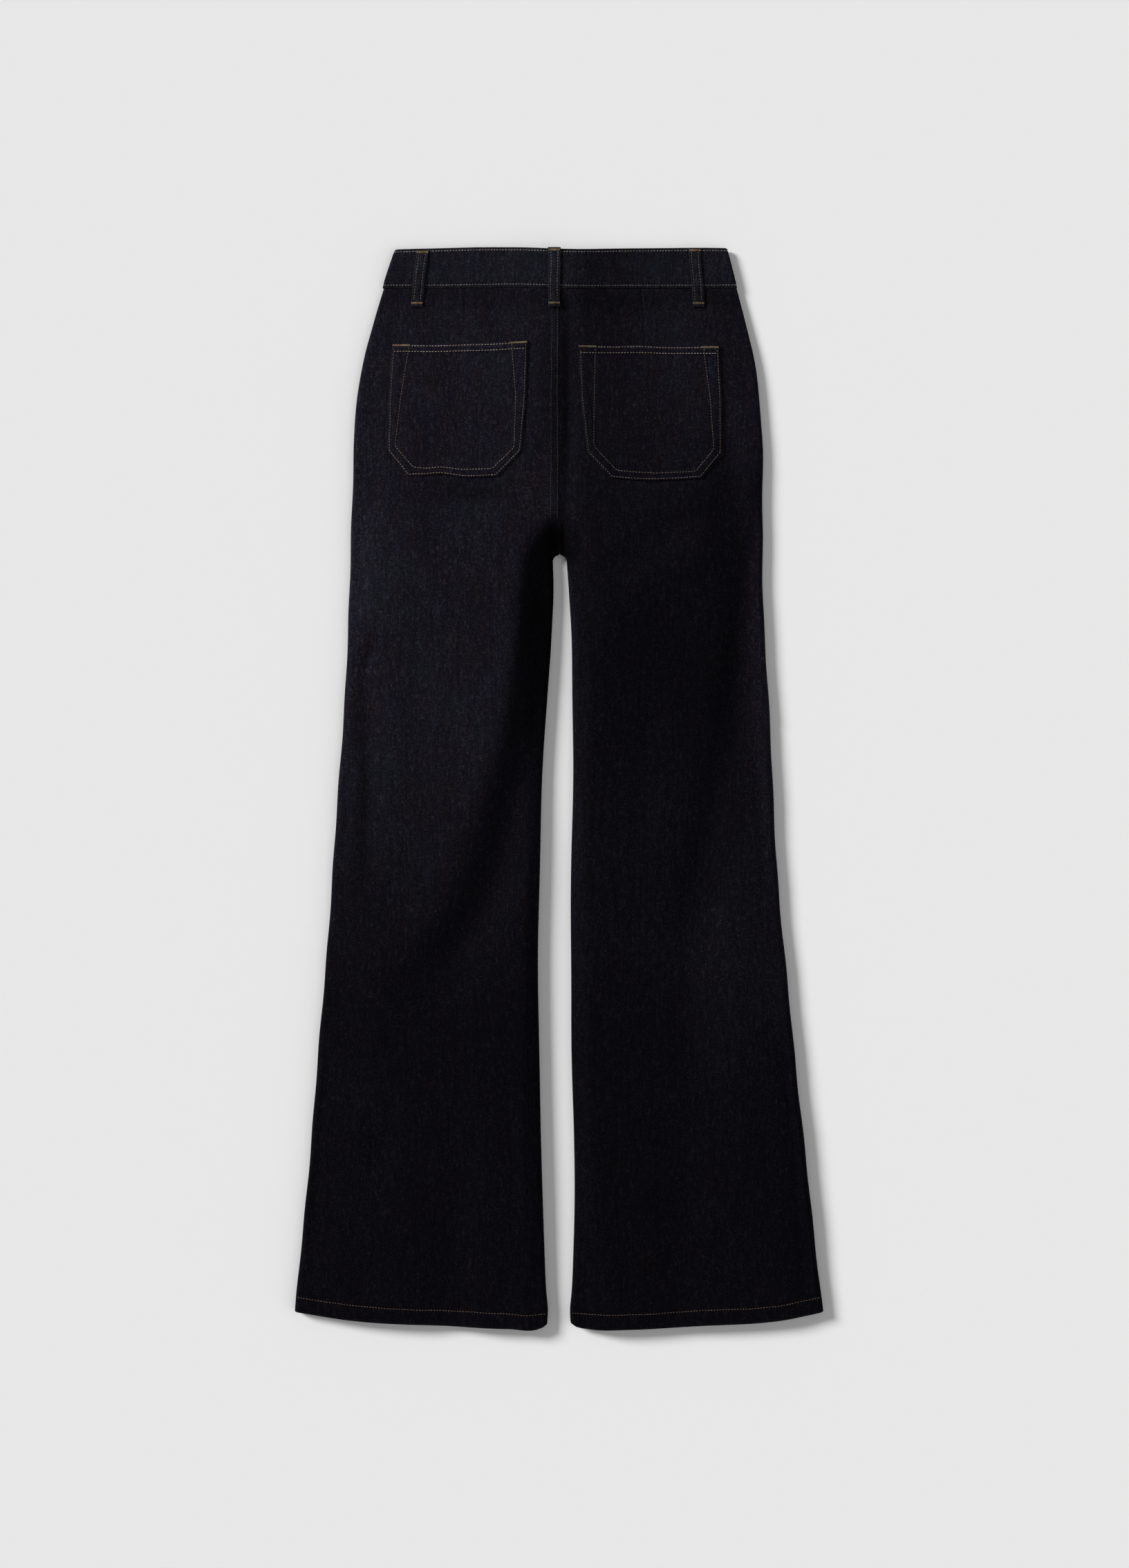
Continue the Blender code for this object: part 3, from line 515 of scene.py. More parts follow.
def edge_distances(side, x, y):
    """How far a point is from its side seam and from its inseam or the crotch's arch."""
    outer = side * (side_seam_x(side, y) - x)
    leg_inner = side * (x - inseam_x(side, y))
    arch = np.hypot(x - CROTCH_X, y - CROTCH_Y) - CROTCH_RADIUS
    inner = np.where(y >= CROTCH_Y, arch, leg_inner)
    return np.maximum(outer, 0), np.maximum(inner, 0)


def quarter_round(t):
    return np.sqrt(1 - (1 - np.clip(t, 0, 1)) ** 2)


def crease(form, x, y):
    """The height that one crease adds at each point, negative in its trough."""
    run = np.linspace(0, len(form.path) - 1, 25)
    knots = range(len(form.path))
    px, py, share = (through(knots, column(form.path, name), run) for name in ("x", "y", "share"))
    best = np.full(np.shape(x), np.inf)
    across = np.zeros(np.shape(x))
    strength = np.zeros(np.shape(x))
    for i in range(len(run) - 1):
        dx, dy = px[i + 1] - px[i], py[i + 1] - py[i]
        t = np.clip(((x - px[i]) * dx + (y - py[i]) * dy) / (dx * dx + dy * dy), 0, 1)
        away = np.hypot(x - px[i] - t * dx, y - py[i] - t * dy)
        turn = np.sign(dx * (y - py[i]) - dy * (x - px[i]))
        nearer = away < best
        best = np.where(nearer, away, best)
        across = np.where(nearer, away * turn, across)
        strength = np.where(nearer, mix(share[i], share[i + 1], t), strength)
    swell_at = -np.sign(form.swell) * 2 * form.width
    swell = abs(form.swell) * near(across - swell_at, 1.3 * form.width)
    return (swell - form.depth * near(best, form.width)) * np.maximum(strength, 0)


def fade_and_painted_shade(x, y):
    """Painted shade and light with some fade: palest on the left seat and thigh, darker down the legs
    and on the right side, and darker still along its creases and hollows.
    """
    # Darker towards the hem: partly a real fade of the seat and thighs, partly painted shade
    fade_and_shade_down_leg = mix(1, HEM_FADE_AND_SHADE, step((110 - y) / 380))
    # Painted shade: the right side is darker, least so in a lit band along its outer edge
    lit_outer_band = step((x - 176 + 62 * step((-10 - y) / 190)) / 30) * step((320 - y) / 60)
    right_shade = RIGHT_SIDE_SHADE + RIGHT_THIGH_SHADE * near(y - 120, 150) - CALF_EASE * step((-70 - y) / 120)
    right_shade = right_shade - step((y - 280) / 120) * mix(*SEAT_EASES, step((x - 30) / 130))
    right_side_shading = 1 - step((x + 10) / 44) * right_shade * (1 - OUTER_EASE * lit_outer_band)
    right_side_shading = right_side_shading * (1 + OUTER_CALF * lit_outer_band * near(y + 190, 110))
    # Painted shade on the inner side of the left leg, which stays dark down to the knee
    past_edge = x - read(INNER_SHADES, "edge", y)
    eased = 1 - read(INNER_SHADES, "ease", y) * step((past_edge - 14) / 50)
    reached = step(past_edge / read(INNER_SHADES, "soft", y) + 0.5)
    inner = 1 - read(INNER_SHADES, "depth", y) * reached * eased * (x < 5)
    # Painted shade along seams, creases and the crotch, and painted light on lit edges
    lines = 1.0
    for form in SHADE_AND_LIGHT_LINES:
        lines = lines * (1 + crease(form, x, y))
    return fade_and_shade_down_leg * right_side_shading * inner * lines


def lap_lift(x, y):
    """The rise over the lapped ends of the waistband, dying out down the seat."""
    share = (LAP_LIFT_REACH - np.abs(x)) / (LAP_LIFT_REACH - LAP_LIFT_FLAT)
    return LAP_LIFT * step(share) * step((y - 400) / 95)


def seat_lap(side, x, y):
    """The left back's edge, folded and felled over the right back's."""
    if side > 0:
        return 0 * x
    inner = edge_distances(side, x, y)[1]
    ridge = step(inner / 1.2) * step((SEAT_LAP + 0.6 - inner) / 1.2)
    between_rows = LAP_SWELL * near(inner - LAP_MIDDLE, 2.2)
    return (SEAT_LAP_RISE * ridge + between_rows * ridge) * (1 - on_leg(y))


def hand_waves(x, y):
    """The slight unevenness of cloth that was smoothed flat by hand."""
    long_waves = np.sin(x / 31 + 0.9 * np.sin(y / 83)) * np.sin(y / 97 + 0.7 * np.sin(x / 41))
    short_waves = np.sin(x / 11.3 + y / 61 + np.sin(y / 35)) * np.sin(y / 47 - x / 73)
    return HAND_WAVE * long_waves + HAND_RIPPLE * short_waves


def puckers(side, x, y):
    """Small ripples that sewing draws up beside the hem, the side seam and the seat seam."""
    outer = edge_distances(side, x, y)[0]
    above_hem = y - hem_y(x)
    at_hem = HEM_PUCKER * np.sin(x / 2.5 + 0.9 * np.sin(x / 17) + above_hem / 9)
    at_hem *= near(above_hem - HEM_DEPTH, 9)
    at_side = SIDE_PUCKER * np.sin(y / 3.7 + 1.3 * np.sin(y / 23) + outer / 8) * near(outer - 9, 7)
    from_seat = np.abs(x - CROTCH_X)
    at_seat = SEAT_PUCKER * np.sin(y / 2.6 + 1.1 * np.sin(y / 19) + from_seat / 7)
    at_seat *= near(from_seat - 8, 8)
    at_waist = WAIST_PUCKER * np.sin(x / 3.1 + np.sin(x / 21)) * near(WAIST_Y - y, 10)
    return at_hem + at_side * step((470 - y) / 30) + at_seat * step((y - 245) / 20) + at_waist


def smooth_height(side, x, y):
    """The top of a back above the table, without its small creases and sewing marks."""
    outer, inner = edge_distances(side, x, y)
    nearest = np.minimum(outer, inner)
    fold, rim, crown = (read(LOFTS, name, y) for name in ("fold", "rim", "crown"))
    height = fold + (rim - fold) * quarter_round(nearest / read(LOFTS, "roll", y))
    height += (crown - rim) * step(outer / SIDE_SLOPE) * step(inner / read(LOFTS, "inner_slope", y))
    height += sum(crease(form, x, y) for form in BROAD_CREASES) * step(nearest / CREASE_FADE)
    return height + lap_lift(x, y)


def back_height(side, x, y, sewn=True):
    """The top of a back above the table, with or without the marks of its sewing."""
    x, y = np.asarray(x, float), np.asarray(y, float)
    nearest = np.minimum(*edge_distances(side, x, y))
    small = sum(crease(form, x, y) for form in SMALL_CREASES) + hand_waves(x, y) * step((500 - y) / 60)
    height = smooth_height(side, x, y) + small * step(nearest / 7)
    if sewn:
        stitched_in = HEM_ROW_SUNK * near(y - hem_y(x) - HEM_DEPTH, 1.1)
        height += (puckers(side, x, y) - stitched_in) * step(nearest / 5) + seat_lap(side, x, y)
    return height


def inner_edge_x(side, seam_x, y):
    """A panel's inner edge: the seam with its neighbour, and below the crotch the inseam."""
    beside_seam = seam_x + side * SEAM_GAP / 2
    beside_inseam = side * np.maximum(side * inseam_x(side, y), side * beside_seam)
    return np.where(y > ARCH_TOP, beside_seam, beside_inseam)


SETTLING_TURNS = 3
# How closely a panel's columns stand in a fold, in the lap or fly, and beside the dart
FOLD_SHARES = 1 - np.cos(np.linspace(0, np.pi / 2, 11))
LAP_SHARES = np.array((0, 0.02, 0.06, 0.11, 0.22, 0.5, 0.72, 0.84, 0.91, 0.96, 1.0))
LINE_OFFSETS = np.array((-3.2, -1.9, -1.0, -0.4, 0.0, 0.4, 1.0, 1.9, 3.2))


def panel_columns(side, y, seam_x, lap_width, counts):
    """x of a panel's columns at the heights y, one row for each height. Columns crowd into the lap
    or fly at the inner edge, along the dart's line down the panel, and into the round at the side."""
    inner = inner_edge_x(side, seam_x(y), y)
    outer = side_seam_x(side, y)
    roll = read(LOFTS, "roll", y)
    share = mix(LAP_SHARES, FOLD_SHARES, on_leg(y)[:, None])
    inner_round = mix(lap_width, roll, on_leg(y))
    near_inner = inner[:, None] + side * share * inner_round[:, None]
    line = read(DARTS, leg(side), y)[:, None] + side * LINE_OFFSETS
    near_outer = outer[:, None] - side * FOLD_SHARES[::-1] * roll[:, None]
    to_line = mix(near_inner[:, -1:], line[:, :1], np.linspace(0, 1, counts[0] + 1)[1:-1])
    to_side = mix(line[:, -1:], near_outer[:, :1], np.linspace(0, 1, counts[1] + 1)[1:-1])
    return np.concatenate([near_inner, to_line, line, to_side, near_outer], axis=1)


def to_ends(x, y):
    """Bends a panel's rows to the hem line and the waist line, less and less further from them."""
    share = np.clip((CROTCH_Y - y) / (CROTCH_Y - FOOT_Y), 0, 1)
    at_hem = (hem_y(x) - FOOT_Y) * share**3
    return at_hem + (line_y(WAIST_LINE, x) - WAIST_Y) * step((y - 470) / (WAIST_Y - 470))


def lay_panel(side, rows, seam_x, lap_width, counts, row_shift):
    """x and y of a panel's points, and which of them are on a folded edge."""
    def columns_at(y):
        return panel_columns(side, y, seam_x, lap_width, counts)

    y = rows[:, None] + np.zeros(columns_at(rows[:1]).shape[1])
    base = y
    # Each column's x depends on its points' own height, and both settle in a few turns
    for _ in range(SETTLING_TURNS):
        x = np.stack([columns_at(y[:, i])[:, i] for i in range(y.shape[1])], axis=1)
        y = base + row_shift(x, base)
    on_fold = np.zeros(x.shape, bool)
    on_fold[:, -1] = True
    on_fold[rows <= ARCH_TOP + 1e-6, 0] = True
    return x, y, on_fold


def grid_normals(points, up, side):
    """Unit normals of a panel, on the side that `up` gives."""
    normals = np.cross(np.gradient(points, axis=1), np.gradient(points, axis=0))
    normals *= np.sign(normals[..., 2:] * up + 1e-12)
    normals[:, -1] = (side, 0, 0)
    x, y = points[:, 0, 0], points[:, 0, 1]
    in_arch = (y >= CROTCH_Y) & (y <= ARCH_TOP + 1e-6)
    normals[y < CROTCH_Y, 0] = (-side, 0, 0)
    normals[in_arch, 0] = np.stack([CROTCH_X - x, CROTCH_Y - y, 0 * x], axis=1)[in_arch]
    normals[y > ARCH_TOP + 1e-6, 0, 0] = 0
    normals[[0, -1], :, 1] = 0
    return normals / np.linalg.norm(normals, axis=2, keepdims=True)


def grid_faces(rows, columns):
    """Quads over a grid of points."""
    first = (np.arange(rows - 1)[:, None] * columns + np.arange(columns - 1)).ravel()
    return np.stack([first, first + 1, first + columns + 1, first + columns], axis=1).tolist()


def make_piece(name, points, faces, materials, slots=None, rubbed=None, sharp=0.9):
    """A mesh object from points in millimetres, smooth except at its real edges, with its faces
    turned outwards, with its fade and painted shade at each point, and perhaps how rubbed it is."""
    mesh = bpy.data.meshes.new(name)
    mesh.from_pydata((np.asarray(points, float) * MM).tolist(), [], faces)
    for material in materials:
        mesh.materials.append(material)
    if slots is not None:
        mesh.polygons.foreach_set("material_index", slots)
    # Fade with painted shade and painted light, for the denim and thread to read
    marks = {"fade_and_painted_shade": fade_and_painted_shade(*np.asarray(points, float).T[:2])}
    if rubbed is not None:
        marks["rubbed_edge"] = np.asarray(rubbed, float).ravel()
    for label, values in marks.items():
        mesh.attributes.new(label, "FLOAT", "POINT").data.foreach_set("value", values)
    mesh.shade_smooth()
    mesh.set_sharp_from_angle(angle=sharp)
    piece = into_scene(name, mesh)
    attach(piece, "root")
    return piece


def cloth_wall(name, outside, inside, flipped, rubbed):
    """One layer of cloth as a closed wall between its outer and inner grid of points. Its last row
    is a turned hem, where the wall rolls over. Grids that run the other way are flipped."""
    middle = (outside[-1] + inside[-1]) / 2
    across = (outside[-1] - inside[-1]) / 2
    bulge = np.linalg.norm(across, axis=1, keepdims=True) * np.array((0, -1, 0))
    turn = [middle + across * np.cos(a) + bulge * np.sin(a) for a in np.linspace(0, np.pi, 6)[1:-1]]
    grid = np.concatenate([outside, np.stack(turn), inside[::-1]])
    rows, columns = grid.shape[:2]
    faces = grid_faces(rows, columns)
    shown = (len(outside) - 1 + len(turn)) * (columns - 1)
    slots = [0] * shown + [1] * (len(faces) - shown)
    last = columns - 1
    for r in range(len(outside) - 1):
        low, high = r * columns, (r + 1) * columns
        far_low, far_high = (rows - 1 - r) * columns, (rows - 2 - r) * columns
        faces.append((low, high, far_high, far_low))
        faces.append((low + last, far_low + last, far_high + last, high + last))
    faces.append(tuple(r * columns for r in range(len(outside) - 1, rows - len(outside) + 1)))
    faces.append(tuple(r * columns + last for r in range(rows - len(outside), len(outside) - 2, -1)))
    faces += [(c, (rows - 1) * columns + c, (rows - 1) * columns + c + 1, c + 1) for c in range(last)]
    slots += [0] * (len(faces) - len(slots))
    if flipped:
        faces = [face[::-1] for face in faces]
    wear = np.zeros((rows, columns))
    wear[: len(outside) + len(turn)] = np.concatenate([rubbed, np.tile(rubbed[-1], (len(turn), 1))])
    return make_piece(name, grid.reshape(-1, 3), faces, [dark_denim, denim_wrong_side], slots, wear)


BACK_COLUMNS = (24, 28)
BACK_ROWS = np.concatenate([
    np.linspace(WAIST_Y - SEAM_GAP, 244, 88), np.linspace(243.2, 227, 19),
    np.linspace(224.5, FOOT_Y + 22, 250),
    FOOT_Y + np.array((19.5, 18, 17, 16.2, 15.6, 15, 14.2, 13, 11, 9, 7, 5, 3.4, 2.2, HEM_WALL / 2)),
])


def hem_rub(x, y):
    """Wear along the bottom of a hem, in patches where its twisted turning stands proud."""
    roping = 0.5 + 0.5 * np.sin(x / 4.6 + y / 3 + 0.8 * np.sin(x / 29))
    return near(y - hem_y(x), 1.6) * (0.35 + 0.65 * roping)


def seat_seam_x(y):
    return CROTCH_X + 0 * y


def panel_wall(rows):
    """The thickness at each row: one layer, or two where the hem is turned up."""
    return mix(DENIM_WALL, HEM_WALL, step((FOOT_Y + HEM_DEPTH + 1 - rows) / 1.5))[:, None]


def points_at(x, y, z):
    return np.stack([x, y, z], axis=-1)


def make_back(side):
    x, y, on_fold = lay_panel(side, BACK_ROWS, seat_seam_x, SEAT_LAP + 1.4, BACK_COLUMNS, to_ends)
    fold_z = read(LOFTS, "fold", y) + SEAM_GAP / 2
    heights = (np.maximum(back_height(side, x, y, sewn), fold_z) for sewn in (True, False))
    outside, unsewn = (points_at(x, y, np.where(on_fold, fold_z, height)) for height in heights)
    inside = unsewn - grid_normals(unsewn, 1, side) * panel_wall(BACK_ROWS)[..., None]
    outer, inner = edge_distances(side, x, y)
    rubbed = hem_rub(x, y) + SIDE_RUB * near(outer, RUB_WIDTH)
    rubbed = rubbed + INSEAM_RUB * near(inner, RUB_WIDTH) * on_leg(y)
    back = cloth_wall(f"back_{leg(side)}", outside, inside, side > 0, rubbed)
    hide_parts(f"back_panel_{leg(side)}")
    return back


backs = {side: make_back(side) for side in (-1, 1)}

# ------------------------------------------------------------
# The two fronts, of the same denim, flat on the table under the backs. The left one has the fly:
# its facing is turned back behind the opening and held by a curved double row. The zip is inside.
# ------------------------------------------------------------
FLY_WIDTH, FLY_WALL = 38.0, 2.2
FLY_X, FLY_TOP_Y, FLY_FOOT_Y = 8.0, 390.0, 300.0
FRONT_DIP, FRONT_DIP_FLAT, FRONT_DIP_REACH, FRONT_DIP_FOOT_Y = 14.0, 37.5, 187.5, 380.0
FRONT_COLUMNS = (10, 16)
FRONT_ROWS = np.concatenate([
    np.linspace(WAIST_Y - SEAM_GAP, 244, 54), np.linspace(242.5, 227, 14),
    np.linspace(222, FOOT_Y + 20, 120),
    FOOT_Y + np.array((17, 16.2, 15.6, 15, 14, 10, 6, 3, HEM_WALL / 2)),
])


def front_seam_x(y):
    """The fly's edge, and below it the front crotch seam."""
    return mix(CROTCH_X, FLY_X, step((y - FLY_FOOT_Y) / (FLY_TOP_Y - FLY_FOOT_Y)))


def front_dip(x):
    return FRONT_DIP * step((FRONT_DIP_REACH - np.abs(x)) / (FRONT_DIP_REACH - FRONT_DIP_FLAT))


def front_height(side, x, y):
    """The outer face of a front, which lies on the table but for its rounds and the waist's lift."""
    nearest = np.minimum(*edge_distances(side, x, y))
    belly = np.maximum(read(LOFTS, "belly", y), 0)
    fold = read(LOFTS, "fold", y)
    height = fold - (fold - belly) * quarter_round(nearest / read(LOFTS, "roll", y))
    return height + (lap_lift(x, y + front_dip(x)) if side > 0 else 0)


def to_front_waist(x, y):
    dipping = step((y - FRONT_DIP_FOOT_Y) / (WAIST_Y - SEAM_GAP - FRONT_DIP_FOOT_Y))
    return to_ends(x, y) - front_dip(x) * dipping


def make_front(side):
    x, y, on_fold = lay_panel(side, FRONT_ROWS, front_seam_x, FLY_WIDTH, FRONT_COLUMNS, to_front_waist)
    fold_z = read(LOFTS, "fold", y) - SEAM_GAP / 2
    height = np.minimum(front_height(side, x, y), fold_z)
    outside = points_at(x, y, np.where(on_fold, fold_z, height))
    wall = panel_wall(FRONT_ROWS) + 0 * x
    if side < 0:
        wall += (FLY_WALL - DENIM_WALL) * step((FLY_WIDTH - FLY_X + x) / 3) * (y > FLY_FOOT_Y)
    inside = outside - grid_normals(outside, -1, side) * wall[..., None]
    rubbed = hem_rub(x, y) + SIDE_RUB * near(edge_distances(side, x, y)[0], RUB_WIDTH)
    front = cloth_wall(f"front_{leg(side)}", outside, inside, side < 0, rubbed)
    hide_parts(f"front_panel_{leg(side)}")
    return front


fronts = {side: make_front(side) for side in (-1, 1)}

# ------------------------------------------------------------
# The topstitching of the panels. Stout thread at eight stitches to the inch: a dark grey double row
# fells the seat seam, one brown row holds each hem, and brown double rows hold the fly's facing and
# the front's crotch seam.
# ------------------------------------------------------------
STITCH_PITCH, STITCH_LENGTH, THREAD = 2.95, 1.95, 0.78
THREAD_LIFT, FRONT_SINK = 0.05, 0.30
PLY_TWIST = 9000.0  # radians a metre
# Along a stitch, the places of its sections, how high they stand and how thick they are
BEAD_ALONG = np.array((-0.5, -0.42, 0.0, 0.42, 0.5))
BEAD_RISE = np.array((-0.30, 0.06, 0.24, 0.06, -0.30))
BEAD_GIRTH = np.array((0.45, 0.85, 1.0, 0.85, 0.45))
BEAD_SIDES = 6
BEAD_FACES = [
    (r * BEAD_SIDES + k, r * BEAD_SIDES + (k + 1) % BEAD_SIDES,
     (r + 1) * BEAD_SIDES + (k + 1) % BEAD_SIDES, (r + 1) * BEAD_SIDES + k)
    for r in range(len(BEAD_ALONG) - 1) for k in range(BEAD_SIDES)
] + [tuple(range(BEAD_SIDES))[::-1], tuple(range(4 * BEAD_SIDES, 5 * BEAD_SIDES))]


def make_thread_group():
    """Two plies twisted together, unevenly dyed along the row."""
    tree, given, result, at = new_group("Thread", Vector="Place", Color="Light Dark")
    run = calculate(tree, "ADD", at["X"], at["Y"])
    plies = calculate(tree, "SINE", calculate(tree, "MULTIPLY", run, PLY_TWIST))
    share = fit(tree, noise(tree, given["Place"], 1.0, 190), 3.0, -1.0, clamp=True)
    fuzz = noise(tree, given["Place"], 1.0, 2600)
    colour = blend_colours(tree, share, given["Dark"], given["Light"])
    colour = scale_colour(tree, colour, calculate(tree, "ADD", fuzz, 0.5))
    tree.links.new(colour, result["Colour"])
    tree.links.new(fit(tree, plies, 0.5, fuzz), result["Height"])
    return tree


thread_group = make_thread_group()


def make_thread(name, light, dark, down=1.0):
    """Thread of one colour, scaled by its cloth's fade and painted shade, and with painted shade that
    makes it darker by `down` where its row runs down.
    """
    material, tree, skin = new_material(name, roughness=0.7, gloss=0.1)
    where, plies = add_nodes(tree, "ShaderNodeTexCoord", "ShaderNodeGroup")
    plies.node_tree = thread_group
    plies.inputs["Light"].default_value = (*light, 1)
    plies.inputs["Dark"].default_value = (*dark, 1)
    tree.links.new(where.outputs["Object"], plies.inputs["Place"])
    emboss(tree, skin, plies.outputs["Height"], strength=0.4, depth=0.0002)
    # Painted shade: where a row runs down it is darkened, as if lit less
    turned = fit(tree, read_mark(tree, "across"), 1 - down, down)
    amount = calculate(tree, "MULTIPLY", turned, read_mark(tree, "fade_and_painted_shade"))
    tree.links.new(scale_colour(tree, plies.outputs["Colour"], amount), skin["Base Color"])
    return material


def unit(vectors):
    return vectors / np.linalg.norm(vectors, axis=-1, keepdims=True)


def stitches_at(middles, forwards, ups, length=STITCH_LENGTH, thick=THREAD):
    """Points of single stitches, each a plump thread that dives into the cloth at both ends."""
    forwards = unit(forwards)
    sideways = unit(np.cross(ups, forwards))
    spine = middles[:, None] + forwards[:, None] * (BEAD_ALONG * length)[:, None]
    spine += ups[:, None] * BEAD_RISE[:, None]
    turn = np.arange(BEAD_SIDES) * 2 * np.pi / BEAD_SIDES
    girth = (BEAD_GIRTH * thick / 2)[:, None, None]
    flat = sideways[:, None, None] * (girth * np.cos(turn)[:, None])
    tall = ups[:, None, None] * (girth * 0.85 * np.sin(turn)[:, None])
    return (spine[:, :, None] + flat + tall).reshape(-1, 3)


def run_along(path):
    """How far along its path each point is."""
    return np.concatenate([[0], np.cumsum(np.linalg.norm(np.diff(path, axis=0), axis=1))])


def sew(path, ups=1.0, pitch=STITCH_PITCH, start=0.8):
    """Points of a row of stitches along a path in space, standing up in the directions `ups`, or
    straight up or down if that is 1 or -1."""
    path = np.asarray(path, float)
    ups = np.tile((0.0, 0.0, ups), (len(path), 1)) if np.isscalar(ups) else ups
    run = run_along(path)
    count = int((run[-1] - start - STITCH_LENGTH) / pitch) + 1
    number = np.arange(count)
    # The stitches' places and slants vary a little, as a machine's do
    middle = start + STITCH_LENGTH / 2 + number * pitch + 0.14 * np.sin(number * 2.3)

    def at(distance, values):
        return np.stack([np.interp(distance, run, values[:, k]) for k in range(3)], axis=1)

    forwards = unit(at(middle + 1, path) - at(middle - 1, path))
    lifts = unit(at(middle, ups))
    slant = 0.07 + 0.05 * np.sin(number * 4.7)
    forwards = forwards + np.cross(lifts, forwards) * slant[:, None]
    return stitches_at(at(middle, path), forwards, lifts)


def stitching(name, rows, material):
    """One piece from the points of many rows."""
    points = np.concatenate(rows)
    each = len(BEAD_ALONG) * BEAD_SIDES
    faces = [tuple(k + first for k in face) for first in range(0, len(points), each) for face in BEAD_FACES]
    piece = make_piece(name, points, faces, [material], sharp=1.4)
    # How much each stitch runs across, which sets the thread's painted shade
    run = points.reshape(-1, each, 3)[:, -1] - points.reshape(-1, each, 3)[:, BEAD_SIDES - 1]
    across = np.repeat(np.abs(unit(run)[:, 0]), each)
    piece.data.attributes.new("across", "FLOAT", "POINT").data.foreach_set("value", across)
    return piece


FINE_STEP = 0.8


def finely(path, spacing=1.0):
    """A polyline with points added at even spacing."""
    path = np.asarray(path, float)
    run = run_along(path)
    at = np.linspace(0, run[-1], max(int(run[-1] / spacing), 2))
    return np.stack([np.interp(at, run, path[:, k]) for k in range(path.shape[1])], axis=1)


def rounded(path, reach):
    """A fine polyline with its corners eased."""
    fine = finely(path, FINE_STEP)
    size = int(reach / FINE_STEP) * 2 + 1
    ends = np.concatenate([np.repeat(fine[:1], size // 2, 0), fine, np.repeat(fine[-1:], size // 2, 0)])
    kernel = np.ones(size) / size
    return np.stack([np.convolve(ends[:, k], kernel, "valid") for k in range(fine.shape[1])], axis=1)


def lay_on(surface, path):
    """A plan path laid on a surface."""
    return np.column_stack([path, surface(path[:, 0], path[:, 1]) + THREAD_LIFT])


seat_thread = make_thread("dark grey thread", (0.052, 0.047, 0.049), (0.022, 0.019, 0.020))
hem_thread = make_thread("brown thread", (0.32, 0.25, 0.21), (0.20, 0.115, 0.075))
SEAT_ROWS = table("top_x foot_x", (-1.8, -1.8), (-7.2, -8.8))
SEAT_PITCH = 2.8
# The fly's two rows and the double row of the crotch seam below them, each from its top down
FLY_ROWS = (
    ((-25, 491), (-25, 380), (-23.5, 345), (-17, 318), (-6, 303), (-2.5, 297)),
    ((-19.5, 491), (-19.5, 385), (-19.1, 350), (-12.6, 323), (-1.6, 308)),
)
FRONT_SEAM_ROWS = (((-2, 294), (-2, 240)), ((-8, 294), (-8, 240)))


def hem_row_path(side):
    inner = inseam_x(side, np.array(-530.0)) + 1.5 * side
    outer = side_seam_x(side, np.array(-515.0)) - 1.5 * side
    x = np.linspace(min(inner, outer), max(inner, outer), 300)
    level = hem_y(side * np.maximum(side * x, 34)) + 1.2 * step((34 - side * x) / 22)
    return np.column_stack([x, level + HEM_DEPTH + 0.25 * np.sin(x / 19) + 0.12 * np.sin(x / 5.3)])


def seat_row_path(row):
    y = np.arange(WAIST_Y - 1, SEAT_FOOT_Y + 1, -1.0)
    x = mix(row.foot_x, row.top_x, (y - SEAT_FOOT_Y) / (WAIST_Y - SEAT_FOOT_Y))
    return np.column_stack([x + 0.2 * np.sin(y / 23) + 0.12 * np.sin(y / 7 + x), y])


def sew_front(path, side):
    """A row on a front's outer face, which is the lower one, pressed into it by the table."""
    points = np.column_stack([path, front_height(side, path[:, 0], path[:, 1]) + FRONT_SINK])
    return sew(points, -1.0)


seat_rows = [sew(lay_on(partial(back_height, -1), seat_row_path(row)), pitch=SEAT_PITCH) for row in SEAT_ROWS]
seat_stitching = stitching("seat_seam_stitching", seat_rows, seat_thread)
hem_rows = [sew(lay_on(partial(back_height, side), hem_row_path(side))) for side in (-1, 1)]
hem_stitching = stitching("hem_stitching", hem_rows, hem_thread)
front_rows = [sew_front(rounded(row, 8), -1) for row in FLY_ROWS]
front_rows += [sew_front(finely(row), -1) for row in FRONT_SEAM_ROWS]
front_rows += [sew_front(hem_row_path(side), side) for side in (-1, 1)]
front_stitching = stitching("front_stitching", front_rows, hem_thread)

# ------------------------------------------------------------
# The back pockets. Patches of the same denim with their edges turned in, sewn on by a double row
# that spreads towards the top, with a hem across the opening and a bar tack at each upper corner.
# ------------------------------------------------------------
POCKET_WALL, POCKET_HEM_WALL = 1.3, 1.9
POCKET_HEM_ROWS = (2.0, 7.8)
POCKET_EDGE_ROW = 1.9
POCKET_TURNING, POCKET_ROW_SUNK = 0.45, 0.30
POCKET_SLACK, POCKET_WAVE, POCKET_RIPPLE = 0.8, 0.35, 0.15
POCKET_SPAN, POCKET_TURNS = 137, 4
POCKET_TOP_Y, POCKET_FOOT_Y = 448.0, 313.0
POCKET_HEM_Y, POCKET_TACK_Y = 446.0, 449.0
